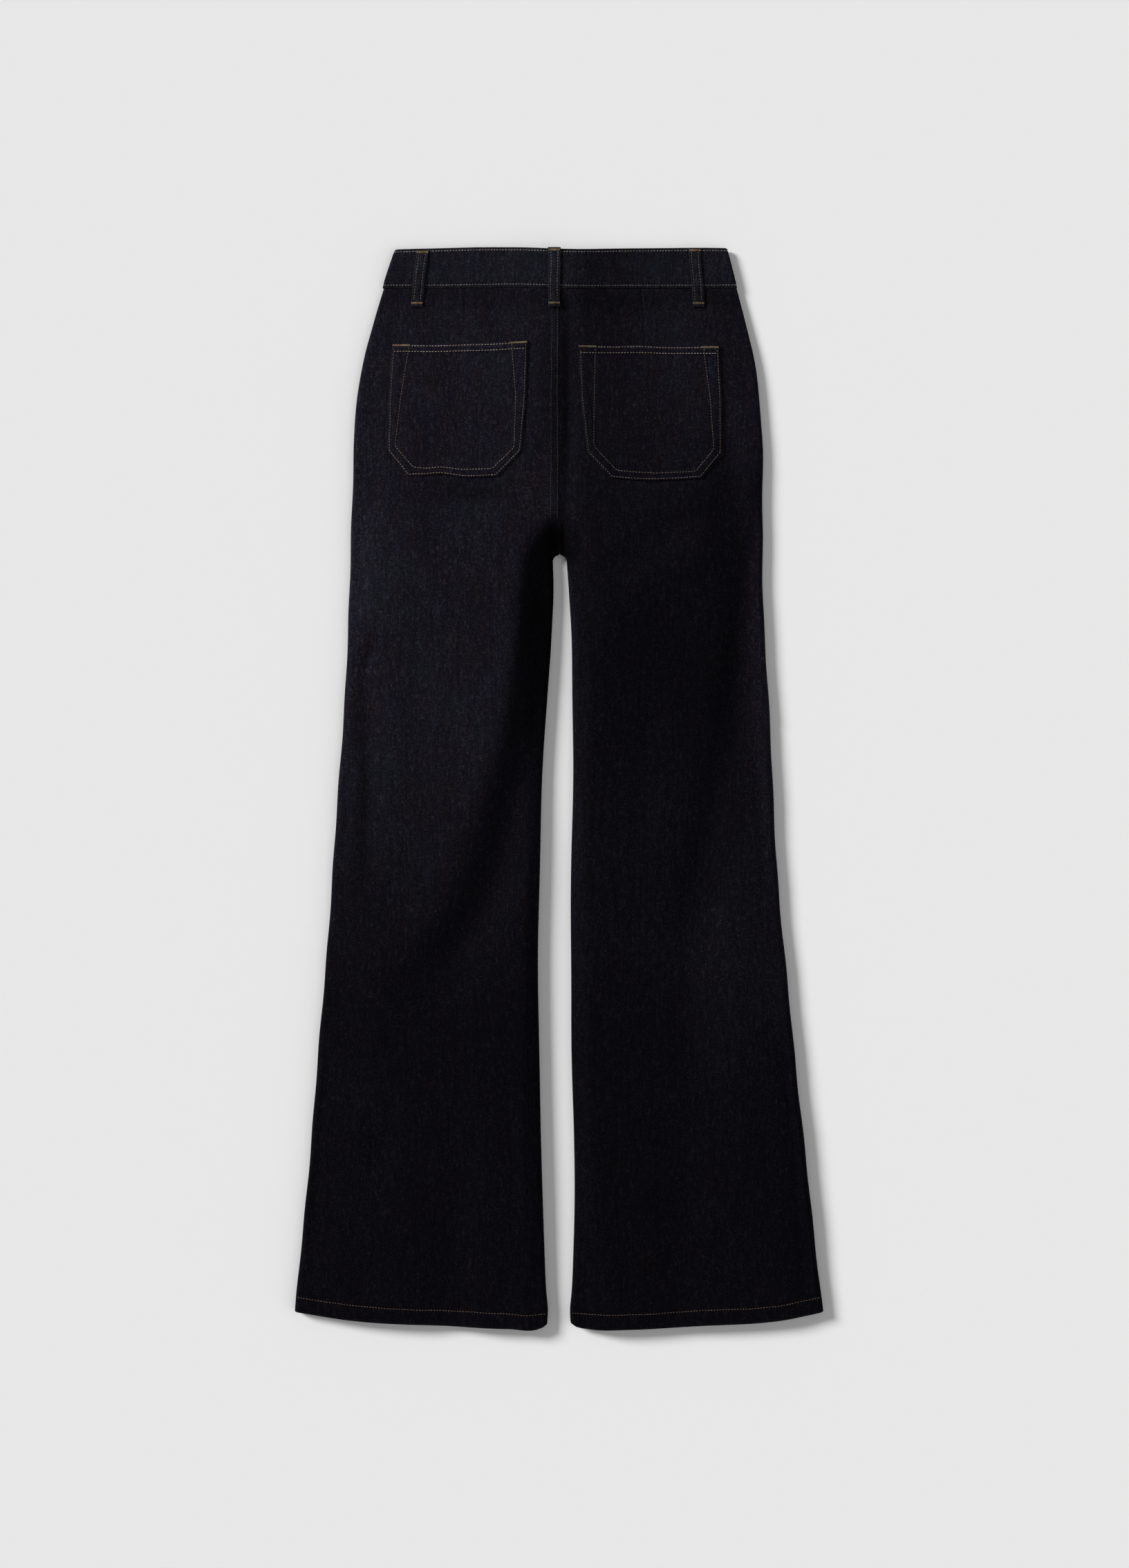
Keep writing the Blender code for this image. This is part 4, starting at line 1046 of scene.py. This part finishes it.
# Each pocket's edge nearer the seat seam and its edge nearer the side seam, from its foot up
POCKET_SIDES = {
    -1: table("y seat side", (313.7, -63.3, -152.4), (339.6, -38.3, -173.2), (396.3, -33.5, -171.9),
              (450.1, -31.9, -168.5)),
    1: table("y seat side", (311.6, 53.2, 142.8), (337.8, 27.9, 164.2), (390.4, 21.9, 164.0),
             (446.1, 19.3, 161.3)),
}
POCKET_TOPS = {
    -1: table("x y", (-170, 448.3), (-130, 448.0), (-90, 448.8), (-32, 451.2)),
    1: table("x y", (19, 446.9), (64, 446.7), (85, 447.0), (106, 446.1), (162, 446.2)),
}
POCKET_BOTTOMS = {
    -1: table("x y", (-153, 315.0), (-140, 314.5), (-121, 315.9), (-97, 312.9), (-63, 313.9)),
    1: table("x y", (53, 312.2), (70, 310.6), (90, 309.7), (120, 310.6), (143, 312.2)),
}
POCKET_INNER_ROWS = {
    -1: ((-152.0, 446.2), (-152.5, 440.2), (-159.6, 396.3), (-165.6, 344.5), (-147.1, 323.0),
         (-133.5, 321.9), (-119.5, 323.5), (-97.6, 320.7), (-67.5, 321.7), (-45.6, 343.1),
         (-43.8, 395.3), (-47.5, 441.2), (-47.8, 449.0)),
    1: ((36.5, 444.4), (36.3, 437.7), (35.0, 375.4), (35.0, 344.5), (57.8, 320.0), (74.7, 318.4),
        (96.6, 317.2), (137.3, 318.8), (155.9, 341.5), (152.0, 395.3), (146.3, 437.7), (146.0, 444.4)),
}


def pocket_side_x(side, name, y):
    """A side edge of a pocket, with its lower corner a little eased."""
    edges = POCKET_SIDES[side]
    lines = [np.interp(y + away, column(edges, "y"), column(edges, name)) for away in (-3, -1.5, 0, 1.5, 3)]
    return sum(lines) / len(lines)


def pocket_insets(side, x, y):
    """How far a point is inside a pocket's side edges, its bottom and its top."""
    insets = []
    for name, way in (("seat", side), ("side", -side)):
        edge = pocket_side_x(side, name, y)
        lean = (pocket_side_x(side, name, y + 0.5) - pocket_side_x(side, name, y - 0.5))
        insets.append(way * (x - edge) / np.hypot(1, lean))
    below = y - line_y(POCKET_BOTTOMS[side], x)
    return np.minimum(*insets), below, line_y(POCKET_TOPS[side], x) - y


def pocket_under(side, x, y):
    return back_height(side, x, y) + SEAM_GAP


def pocket_top(side, x, y):
    """The outer face of a pocket: thicker at its turned edges, drawn in at the rows between."""
    from_side, from_bottom, from_top = (np.maximum(inset, 0) for inset in pocket_insets(side, x, y))
    nearest = np.minimum(np.minimum(from_side, from_bottom), from_top)
    wall = mix(POCKET_WALL, POCKET_HEM_WALL, step((9.0 - from_top) / 1.2))
    wall = wall * (0.2 + 0.8 * quarter_round(nearest / 0.9))
    turned_in = POCKET_TURNING * step((10.0 - nearest) / 2.0) * step(nearest / 1.2)
    drawn_in = POCKET_ROW_SUNK * near(nearest - POCKET_EDGE_ROW, 0.7)
    drawn_in += POCKET_ROW_SUNK * near(from_top - POCKET_HEM_ROWS[1], 0.8)
    slack = POCKET_SLACK * step((nearest - 8) / 34)
    soft = POCKET_WAVE * np.sin(x / 8.7 + np.sin(y / 19)) * np.sin(y / 27 + x / 31) * step(nearest / 14)
    ripple = POCKET_RIPPLE * np.sin(x / 0.97) * (near(from_bottom - 4.5, 3.5) + near(from_top - 5, 3.5))
    ripple += POCKET_RIPPLE * np.sin(y / 0.97) * near(from_side - 4.5, 3.5)
    return pocket_under(side, x, y) + wall + turned_in - drawn_in + slack + soft + ripple * step(nearest)


def closed_piece(name, outside, inside, material, rubbed, flipped, sharp):
    """A closed piece between an upper and a lower grid of points."""
    rows, columns = outside.shape[:2]
    count = rows * columns
    upper = grid_faces(rows, columns)
    rim = [*range(columns), *range(2 * columns - 1, count, columns),
           *range(count - 2, count - columns - 1, -1), *range(count - 2 * columns, 0, -columns)]
    faces = upper + [tuple(k + count for k in face[::-1]) for face in upper]
    faces += [(b, a, a + count, b + count) for a, b in zip(rim, rim[1:] + rim[:1])]
    if flipped:
        faces = [face[::-1] for face in faces]
    points = np.concatenate([outside.reshape(-1, 3), inside.reshape(-1, 3)])
    return make_piece(name, points, faces, [material], rubbed=np.tile(rubbed.ravel(), 2), sharp=sharp)


def make_pocket(side, material):
    close = np.array((0, 0.2, 0.5, 0.9, 1.4, 1.9, 2.4, 3.2, 4.5, 6.0, 7.2, 7.9, 8.6, 9.8))
    far = POCKET_SPAN - close[::-1]
    down = np.concatenate([close, np.linspace(12.5, 103, 32), np.linspace(104.5, 126, 16), far]) / POCKET_SPAN
    across = np.concatenate([close, np.linspace(12.5, 124.5, 36), far]) / POCKET_SPAN
    y = mix(POCKET_TOP_Y, POCKET_FOOT_Y, down)[:, None] + 0 * across
    for _ in range(POCKET_TURNS):
        x = mix(pocket_side_x(side, "seat", y), pocket_side_x(side, "side", y), across)
        y = mix(line_y(POCKET_TOPS[side], x), line_y(POCKET_BOTTOMS[side], x), down[:, None])
    outside = points_at(x, y, pocket_top(side, x, y))
    inside = points_at(x, y, pocket_under(side, x, y))
    nearest = np.minimum.reduce(pocket_insets(side, x, y))
    patchy = 0.55 + 0.45 * np.sin(x / 5.1 + np.sin(y / 9)) * np.sin(y / 6.3)
    pocket = closed_piece(f"pocket_{leg(side)}", outside, inside, material,
                          0.9 * near(nearest, 0.7) * patchy, flipped=side > 0, sharp=1.2)
    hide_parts(f"back_pocket_{leg(side)}")
    return pocket


pocket_denim = make_denim("pocket denim", RIGHT_SIDE, (0.31, 0.07, 0), strength=1.04)
pockets = {side: make_pocket(side, pocket_denim) for side in (-1, 1)}

pale_thread = make_thread("cream thread", (0.33, 0.31, 0.29), (0.19, 0.135, 0.094))
# Painted shade: its rows darken to 0.45 where they run down
tan_thread = make_thread("tan thread", (0.225, 0.204, 0.188), (0.14, 0.087, 0.06), down=0.45)
tack_thread = make_thread("golden brown thread", (0.20, 0.158, 0.105), (0.12, 0.068, 0.036))


def pocket_edge_path(side):
    """The outer row, from the top of one side round the bottom to the top of the other."""
    edges = POCKET_SIDES[side]
    seat = [(row.seat, row.y) for row in edges]
    far = [(row.side, row.y) for row in edges]
    outline = np.array(far[::-1] + seat, float)
    bottom_x = np.linspace(far[0][0], seat[0][0], 14)[1:-1]
    bottom = np.column_stack([bottom_x, line_y(POCKET_BOTTOMS[side], bottom_x)])
    outline = np.concatenate([outline[: len(far)], bottom, outline[len(far):]])
    path = finely(outline)
    heading = unit(np.gradient(path, axis=0))
    inward = np.column_stack([-heading[:, 1], heading[:, 0]]) * -side
    path = path + inward * POCKET_EDGE_ROW
    kept = line_y(POCKET_TOPS[side], path[:, 0]) - path[:, 1] > POCKET_HEM_ROWS[0] + 0.6
    return rounded(path[kept], 2.0)


def pocket_hem_path(side, below):
    ends = sorted(pocket_side_x(side, name, np.array(POCKET_HEM_Y)) for name in ("seat", "side"))
    x = np.linspace(ends[0] + 1.2, ends[1] - 1.2, 200)
    return np.column_stack([x, line_y(POCKET_TOPS[side], x) - below + 0.1 * np.sin(x / 9)])


def sew_pocket(side, path):
    return sew(lay_on(partial(pocket_top, side), path))


edge_rows = [sew_pocket(side, pocket_edge_path(side)) for side in (-1, 1)]
edge_rows += [sew_pocket(side, rounded(POCKET_INNER_ROWS[side], 3.5)) for side in (-1, 1)]
pocket_stitching = stitching("pocket_stitching", edge_rows, tan_thread)
top_rows = [sew_pocket(side, pocket_hem_path(side, below)) for side in (-1, 1) for below in POCKET_HEM_ROWS]
pocket_hem_stitching = stitching("pocket_hem_stitching", top_rows, pale_thread)


TACK_SPACING, TACK_THREAD, TACK_LIFT = 0.42, 0.62, 0.22


def bar_tack(start, end, surface, height=1.9, up=1):
    """Points of a bar tack: stitches packed side by side across a short bar."""
    start, end = np.asarray(start, float), np.asarray(end, float)
    length = np.linalg.norm(end - start)
    count = int(length / TACK_SPACING)
    share = (np.arange(count) + 0.5) / count
    plan = start + (end - start) * share[:, None]
    along = (end - start) / length
    lean = 0.22 * np.where(np.arange(count) % 2, 1, -1)
    across = np.column_stack([-along[1] + lean * along[0], along[0] + lean * along[1]])
    middles = np.column_stack([plan, surface(plan[:, 0], plan[:, 1]) + up * TACK_LIFT])
    forwards = np.column_stack([across, 0 * share])
    ups = np.tile((0.0, 0.0, float(up)), (count, 1))
    return stitches_at(middles, forwards, ups, height, TACK_THREAD)


tacks = []
for side in (-1, 1):
    for name, inwards in (("seat", side), ("side", -side)):
        ends = pocket_side_x(side, name, np.array(POCKET_TACK_Y)) + inwards * np.array((0.5, 18.0))
        top = line_y(POCKET_TOPS[side], ends) - POCKET_HEM_ROWS[0] + 0.5
        tacks.append(bar_tack(*zip(ends, top), partial(pocket_top, side)))
pocket_tacks = stitching("pocket_bar_tacks", tacks, tack_thread)

# ------------------------------------------------------------
# The waistband. One strip of denim folded double along its top, 41 mm deep, topstitched near both
# edges. It turns over at the two sides, and its ends lap at the centre front, under the button.
# ------------------------------------------------------------
BAND_DEPTH = 41.0
BAND_UNDER_Z, BAND_OVER_Z = 1.9, 6.9
BAND_FOLD = (BAND_OVER_Z - BAND_UNDER_Z) / 2
BAND_ENDS_X = (17.0, -18.0)
BAND_ROWS = (3.3, 38.1)
BAND_ROW_SUNK, BAND_FULLNESS, BAND_RIPPLE, BAND_DRAG = 0.28, 0.45, 0.16, 0.50
UNDER_COUNT, OVER_COUNT = 120, 280
# x of the band's two turned ends, at its seam and at its top
BAND_SIDES = {-1: (-178.9, -166.2), 1: (179.8, 169.6)}
BAND_TOP = table(
    "x y",
    (-178, 543.6), (-165, 544.3), (-118, 545.6), (-76, 546.6), (-48, 546.4), (22, 544.4), (64, 545.3),
    (106, 545.7), (141, 546.0), (179, 545.6),
)
BUTTON_LIFT, BUTTON_LIFT_REACH = 0.7, 25.0
# How far up the band's depth each point of its section is, and how far in from its outer face
BAND_SECTION = table(
    "up sunk",
    (0.0, 1.1), (0.12, 0.62), (0.45, 0.22), (1.0, 0), (2.0, 0), (2.8, 0), (3.3, 0), (3.8, 0), (4.8, 0),
    (6.5, 0), (9, 0), (12.5, 0), (16.5, 0), (20.5, 0), (24.5, 0), (28.5, 0), (32, 0), (34.8, 0),
    (36.6, 0), (37.6, 0), (38.1, 0), (38.6, 0), (39.4, 0), (40.1, 0.05), (40.6, 0.3), (40.9, 0.66),
    (41.0, 1.1), (40.9, 1.6), (40.5, 2.0), (39.6, 2.2), (28, 2.2), (14, 2.2), (1.4, 2.2), (0.45, 2.0),
    (0.12, 1.6),
)


def band_over_z(x):
    return BAND_OVER_Z + lap_lift(x, WAIST_Y + BAND_DEPTH)


def band_ring(up):
    """Points along the band's outer face at one height up it, and the outward normals there: under the
    waist from the front's middle to the left side, over the back, and under again from the right."""
    share = up / BAND_DEPTH
    left = mix(*BAND_SIDES[-1], share) + BAND_FOLD
    right = mix(*BAND_SIDES[1], share) - BAND_FOLD
    turn = np.linspace(0, np.pi, 15)[1:-1]
    bulge, rise = BAND_FOLD * np.sin(turn), BAND_FOLD * np.cos(turn)
    middle = BAND_UNDER_Z + BAND_FOLD
    first = np.linspace(BAND_ENDS_X[0], left, UNDER_COUNT)
    last = np.linspace(right, BAND_ENDS_X[1], UNDER_COUNT)
    over = np.linspace(left, right, OVER_COUNT)
    x = np.concatenate([first, left - bulge, over, right + bulge, last])
    on_button = BUTTON_LIFT * step(2 - np.abs(first) / BUTTON_LIFT_REACH)
    z = np.concatenate([BAND_UNDER_Z + on_button, middle - rise, band_over_z(over), middle + rise,
                        BAND_UNDER_Z + lap_lift(last, WAIST_Y + BAND_DEPTH)])
    under = np.concatenate([np.ones(UNDER_COUNT), 0.5 + 0.5 * np.cos(turn), np.zeros(OVER_COUNT),
                            0.5 - 0.5 * np.cos(turn), np.ones(UNDER_COUNT)])
    level = mix(line_y(WAIST_LINE, x), line_y(BAND_TOP, x), share) - front_dip(x) * under
    heading = unit(np.gradient(np.stack([x, z], axis=1), axis=0))
    outward = np.stack([-heading[:, 1], 0 * x, heading[:, 0]], axis=1)
    return points_at(x, level, z), outward


def band_relief(run, up):
    """How far the outer face stands out: drawn in at its rows, full and faintly rippled between."""
    drawn_in = BAND_ROW_SUNK * near(up - BAND_ROWS[0], 0.8) + BAND_ROW_SUNK * near(up - BAND_ROWS[1], 0.8)
    full = BAND_FULLNESS * np.sin(np.pi * np.clip(up / BAND_DEPTH, 0, 1)) ** 0.5
    ripple = BAND_RIPPLE * np.sin(run / 1.02 + np.sin(run / 13)) * (near(up - 6, 3) + near(up - 35.4, 3))
    drag = BAND_DRAG * np.sin(run / 8.4 + 2 * np.sin(run / 57) + up / 13) * np.sin(run / 37)
    return full - drawn_in + ripple + drag * step(up / 8) * step((BAND_DEPTH - up) / 8)


def make_waistband(material):
    rings = []
    wear = []
    for point in BAND_SECTION:
        ring, outward = band_ring(point.up)
        run = run_along(ring)
        proud = band_relief(run, point.up) * max(1 - point.sunk / 0.6, 0) - point.sunk
        rings.append(ring + outward * proud[:, None])
        from_edge = min(point.up, BAND_DEPTH - point.up)
        patchy = 0.6 + 0.4 * np.sin(run / 4.3 + np.sin(run / 11))
        wear.append(0.9 * near(from_edge, 0.8) * patchy * (point.sunk < 1.7) + 0 * run)
    rows, columns = len(rings), len(rings[0])
    faces = []
    for r in range(rows):
        a, b = r * columns, (r + 1) % rows * columns
        faces += [(a + c, b + c, b + c + 1, a + c + 1) for c in range(columns - 1)]
    faces.append(tuple(r * columns for r in range(rows))[::-1])
    faces.append(tuple(r * columns + columns - 1 for r in range(rows)))
    band = make_piece("band", np.concatenate(rings), faces, [material],
                      rubbed=np.concatenate(wear), sharp=1.2)
    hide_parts("waistband")
    return band


band_denim = make_denim("waistband denim", TURNED_SIDE, (0.6, 0.43, 0), strength=1.12)
waistband = make_waistband(band_denim)


def band_row(up):
    path, outward = band_ring(up)
    relief = band_relief(run_along(path), up)[:, None]
    return sew(path + outward * (relief + THREAD_LIFT), outward, start=2.5)


def band_end_row():
    """The short row that closes the band's lapped end."""
    heights = np.linspace(5, 36.5, 40)
    path = np.array([band_ring(up)[0][3] for up in heights])
    return sew(path - np.array((0, 0, 0.25)), -1.0)


band_top_thread = make_thread("brown band thread", (0.33, 0.295, 0.265), (0.15, 0.118, 0.10))
band_foot_thread = make_thread("pale band thread", (0.25, 0.22, 0.22), (0.12, 0.10, 0.095))
band_top_rows = [band_row(BAND_ROWS[1]), band_end_row()]
band_top_stitching = stitching("waistband_top_stitching", band_top_rows, band_top_thread)
band_foot_stitching = stitching("waistband_foot_stitching", [band_row(BAND_ROWS[0])], band_foot_thread)

# ------------------------------------------------------------
# The belt loops. Strips of denim folded in three, 12 mm wide, with a row of stitches inside each
# edge. Both ends are turned under and held to the waistband and the jeans by a bar tack.
# ------------------------------------------------------------
LOOP_WIDTH, LOOP_WALL = 12.2, 1.4
LOOP_ROW_X = 3.4
LOOP_SLACK = 0.5
LOOP_ROW_SUNK, LOOP_TACK_SUNK, LOOP_RIPPLE, LOOP_MIDDLE = 0.22, 0.35, 0.09, 0.30
TOP_TACK, FOOT_TACK = 2.6, 3.9
LOOPS = table(
    "place name top_x foot_x top_y foot_y",
    ("back", "left", -138.2, -144.6, 543.8, 485.8), ("back", "centre", -4.9, -5.4, 546.0, 485.6),
    ("back", "right", 136.6, 141.0, 545.6, 485.7), ("front", "left", -104.0, -106.0, 535.3, 479.6),
    ("front", "right", 104.0, 106.0, 535.3, 479.6),
)


def loop_plan(loop, across, y):
    """x of points at a place across a loop, which is a little wider at its top."""
    share = (loop.top_y - y) / (loop.top_y - loop.foot_y)
    spread = 0.97 + 0.09 * near(share, 0.14)
    return mix(loop.top_x, loop.foot_x, share) + across * spread + 0.25 * np.sin(y / 7 + loop.top_x)


def back_loop_under(loop, y):
    """The height of a loop's under face at each level: on the waistband, then down onto a back."""
    heights = []
    for across in (-LOOP_WIDTH / 2, 0, LOOP_WIDTH / 2):
        x = loop_plan(loop, across, y)
        side = -1 if loop.foot_x < CROTCH_X else 1
        panel = back_height(side, x, y) + SEAT_LAP_RISE * (loop.name == "centre")
        on_band = step((y - (WAIST_Y - 12)) / 10)
        slack = LOOP_SLACK * np.sin(np.pi * np.clip((y - WAIST_Y) / BAND_DEPTH, 0, 1))
        heights.append(mix(panel, band_over_z(x) + 0.2, on_band) + SEAM_GAP + 0.2 + slack)
    return np.maximum.reduce(heights)


def loop_relief(loop, across, y):
    """A loop's outer face: rounded at its edges, drawn in along its rows and under its tacks."""
    from_side = LOOP_WIDTH / 2 - np.abs(across)
    from_top, from_foot = loop.top_y - y, y - loop.foot_y
    from_end = np.minimum(from_top, from_foot)
    wall = LOOP_WALL * (0.25 + 0.75 * quarter_round(np.minimum(from_side, from_end) / 0.8))
    drawn_in = LOOP_ROW_SUNK * near(np.abs(across) - LOOP_ROW_X, 0.6)
    tacked = LOOP_TACK_SUNK * (near(from_top - TOP_TACK, 1.6) + near(from_foot - FOOT_TACK, 1.6))
    ripple = LOOP_RIPPLE * np.sin(y / 0.97) * near(np.abs(across) - 2.4, 1.4)
    return wall + LOOP_MIDDLE * near(across, 2.2) - drawn_in - tacked + ripple


def make_loop(loop, material):
    front = loop.place == "front"
    close = np.array((0, 0.08, 0.25, 0.5, 0.85, 1.35, 1.9, 2.5, 3.2, 4.2, 5.1))
    across = np.concatenate([close - LOOP_WIDTH / 2, [0], LOOP_WIDTH / 2 - close[::-1]])
    length = loop.top_y - loop.foot_y
    ends = np.array((0, 0.1, 0.3, 0.6, 1.0, 1.6, 2.4, 3.4, 4.6))
    down = np.concatenate([ends, np.linspace(6, length - 6, 56), length - ends[::-1]])
    y = (loop.top_y - down)[:, None] + 0 * across
    x = loop_plan(loop, across, y)
    if front:
        under = BAND_UNDER_Z - SEAM_GAP + 0 * y
        over = np.maximum(under - loop_relief(loop, across, y), 0.02)
    else:
        under = back_loop_under(loop, y[:, 0])[:, None] + 0 * across
        over = under + loop_relief(loop, across, y)
    from_side = LOOP_WIDTH / 2 - np.abs(across)
    from_end = np.minimum(down, length - down)[:, None]
    wear = 0.4 * near(from_side, 0.9) + 0.3 * near(across, 1.5) * (0.5 + 0.5 * np.sin(y / 3.1))
    wear = wear + 0.8 * near(from_end, 0.8) * (0.4 + 0.6 * near(from_side, 1.6))
    piece = closed_piece(f"loop_{loop.place}_{loop.name}", points_at(x, y, over), points_at(x, y, under),
                         material, wear, flipped=front, sharp=1.3)
    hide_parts(f"belt_loop_{loop.place}_{loop.name}")
    return piece


def loop_rows(loop):
    """The two rows down a loop."""
    front = loop.place == "front"
    y = np.linspace(loop.top_y - 4.2, loop.foot_y + 5.5, 60)
    base = BAND_UNDER_Z - SEAM_GAP if front else back_loop_under(loop, y)
    way, sunk = (-1.0, 0.15) if front else (1.0, 0.0)
    rows = []
    for across in (-LOOP_ROW_X, LOOP_ROW_X):
        proud = loop_relief(loop, across, y) + THREAD_LIFT
        path = points_at(loop_plan(loop, across, y), y, base + way * proud + sunk)
        rows.append(sew(path, way, start=0.2))
    return rows


def loop_tacks(loop):
    found = []
    for level, height in ((loop.top_y - TOP_TACK, 2.6), (loop.foot_y + FOOT_TACK, 2.3)):
        middle = loop_plan(loop, 0, np.array(level))
        if loop.place == "front":
            surface, up = (lambda px, py: 0.55 + 0 * px), -1
        else:
            base = back_loop_under(loop, np.array(level))
            surface, up = (lambda px, py: base + loop_relief(loop, px - middle, py)), 1
        found.append(bar_tack((middle - 5.6, level), (middle + 5.6, level), surface, height=height, up=up))
    return found


loop_denim = make_denim("belt loop denim", TURNED_SIDE, (0.13, 0.9, 0), strength=1.2)
loops = [make_loop(loop, loop_denim) for loop in LOOPS]
loop_thread = make_thread("grey brown loop thread", (0.13, 0.115, 0.106), (0.068, 0.054, 0.048))
all_loop_rows = sum((loop_rows(loop) for loop in LOOPS), [])
all_loop_tacks = sum((loop_tacks(loop) for loop in LOOPS), [])
loop_stitching = stitching("belt_loop_stitching", all_loop_rows, loop_thread)
loop_bar_tacks = stitching("belt_loop_bar_tacks", all_loop_tacks, tack_thread)

# ------------------------------------------------------------
# The button. A tack button of stamped brass with an antique copper finish, its rim rolled over and
# a plain dome in its dished face, riveted through the band's end on a short post.
# ------------------------------------------------------------
BUTTON_Y, BUTTON_SEGMENTS = 512.5, 56
BUTTON_PROFILE = table(
    "radius z",
    (0.0, 2.75), (2.6, 2.75), (2.7, 2.35), (7.2, 2.3), (8.0, 2.1), (8.42, 1.6), (8.5, 1.1),
    (8.36, 0.62), (8.0, 0.25), (7.5, 0.07), (7.0, 0.09), (6.6, 0.28), (6.2, 0.48), (5.4, 0.52),
    (4.3, 0.5), (3.6, 0.36), (2.6, 0.16), (1.4, 0.07), (0.0, 0.05),
)


def make_copper():
    material, tree, skin = new_material("antique copper", roughness=0.5, gloss=0.5)
    place = tree.nodes.new("ShaderNodeTexCoord").outputs["Object"]
    tarnish = noise(tree, place, 1.0, 700, 4, 0.6)
    share = fit(tree, tarnish, 3.0, -1.0, clamp=True)
    colour = blend_colours(tree, share, (0.13, 0.065, 0.035, 1), (0.50, 0.27, 0.14, 1))
    tree.links.new(colour, skin["Base Color"])
    tree.links.new(fit(tree, share, -0.2, 0.52), skin["Roughness"])
    emboss(tree, skin, tarnish, strength=0.25, depth=0.0001)
    skin["Metallic"].default_value = 1.0
    return material


def make_button():
    segments = BUTTON_SEGMENTS
    turn = np.arange(segments) * 2 * np.pi / segments
    rings = [points_at(row.radius * np.cos(turn), BUTTON_Y + row.radius * np.sin(turn), row.z + 0 * turn)
             for row in BUTTON_PROFILE[1:-1]]
    points = np.concatenate([*rings, [(0, BUTTON_Y, BUTTON_PROFILE[end].z) for end in (0, -1)]])
    back, tip, last = len(points) - 2, len(points) - 1, (len(rings) - 1) * segments
    around = [(k, (k + 1) % segments) for k in range(segments)]
    faces = [(low + k, low + segments + k, low + segments + after, low + after)
             for low in range(0, last, segments) for k, after in around]
    for k, after in around:
        faces += [(back, k, after), (tip, last + after, last + k)]
    button = make_piece("button", points, faces, [make_copper()], sharp=0.8)
    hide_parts("waist_button")
    return button


button = make_button()
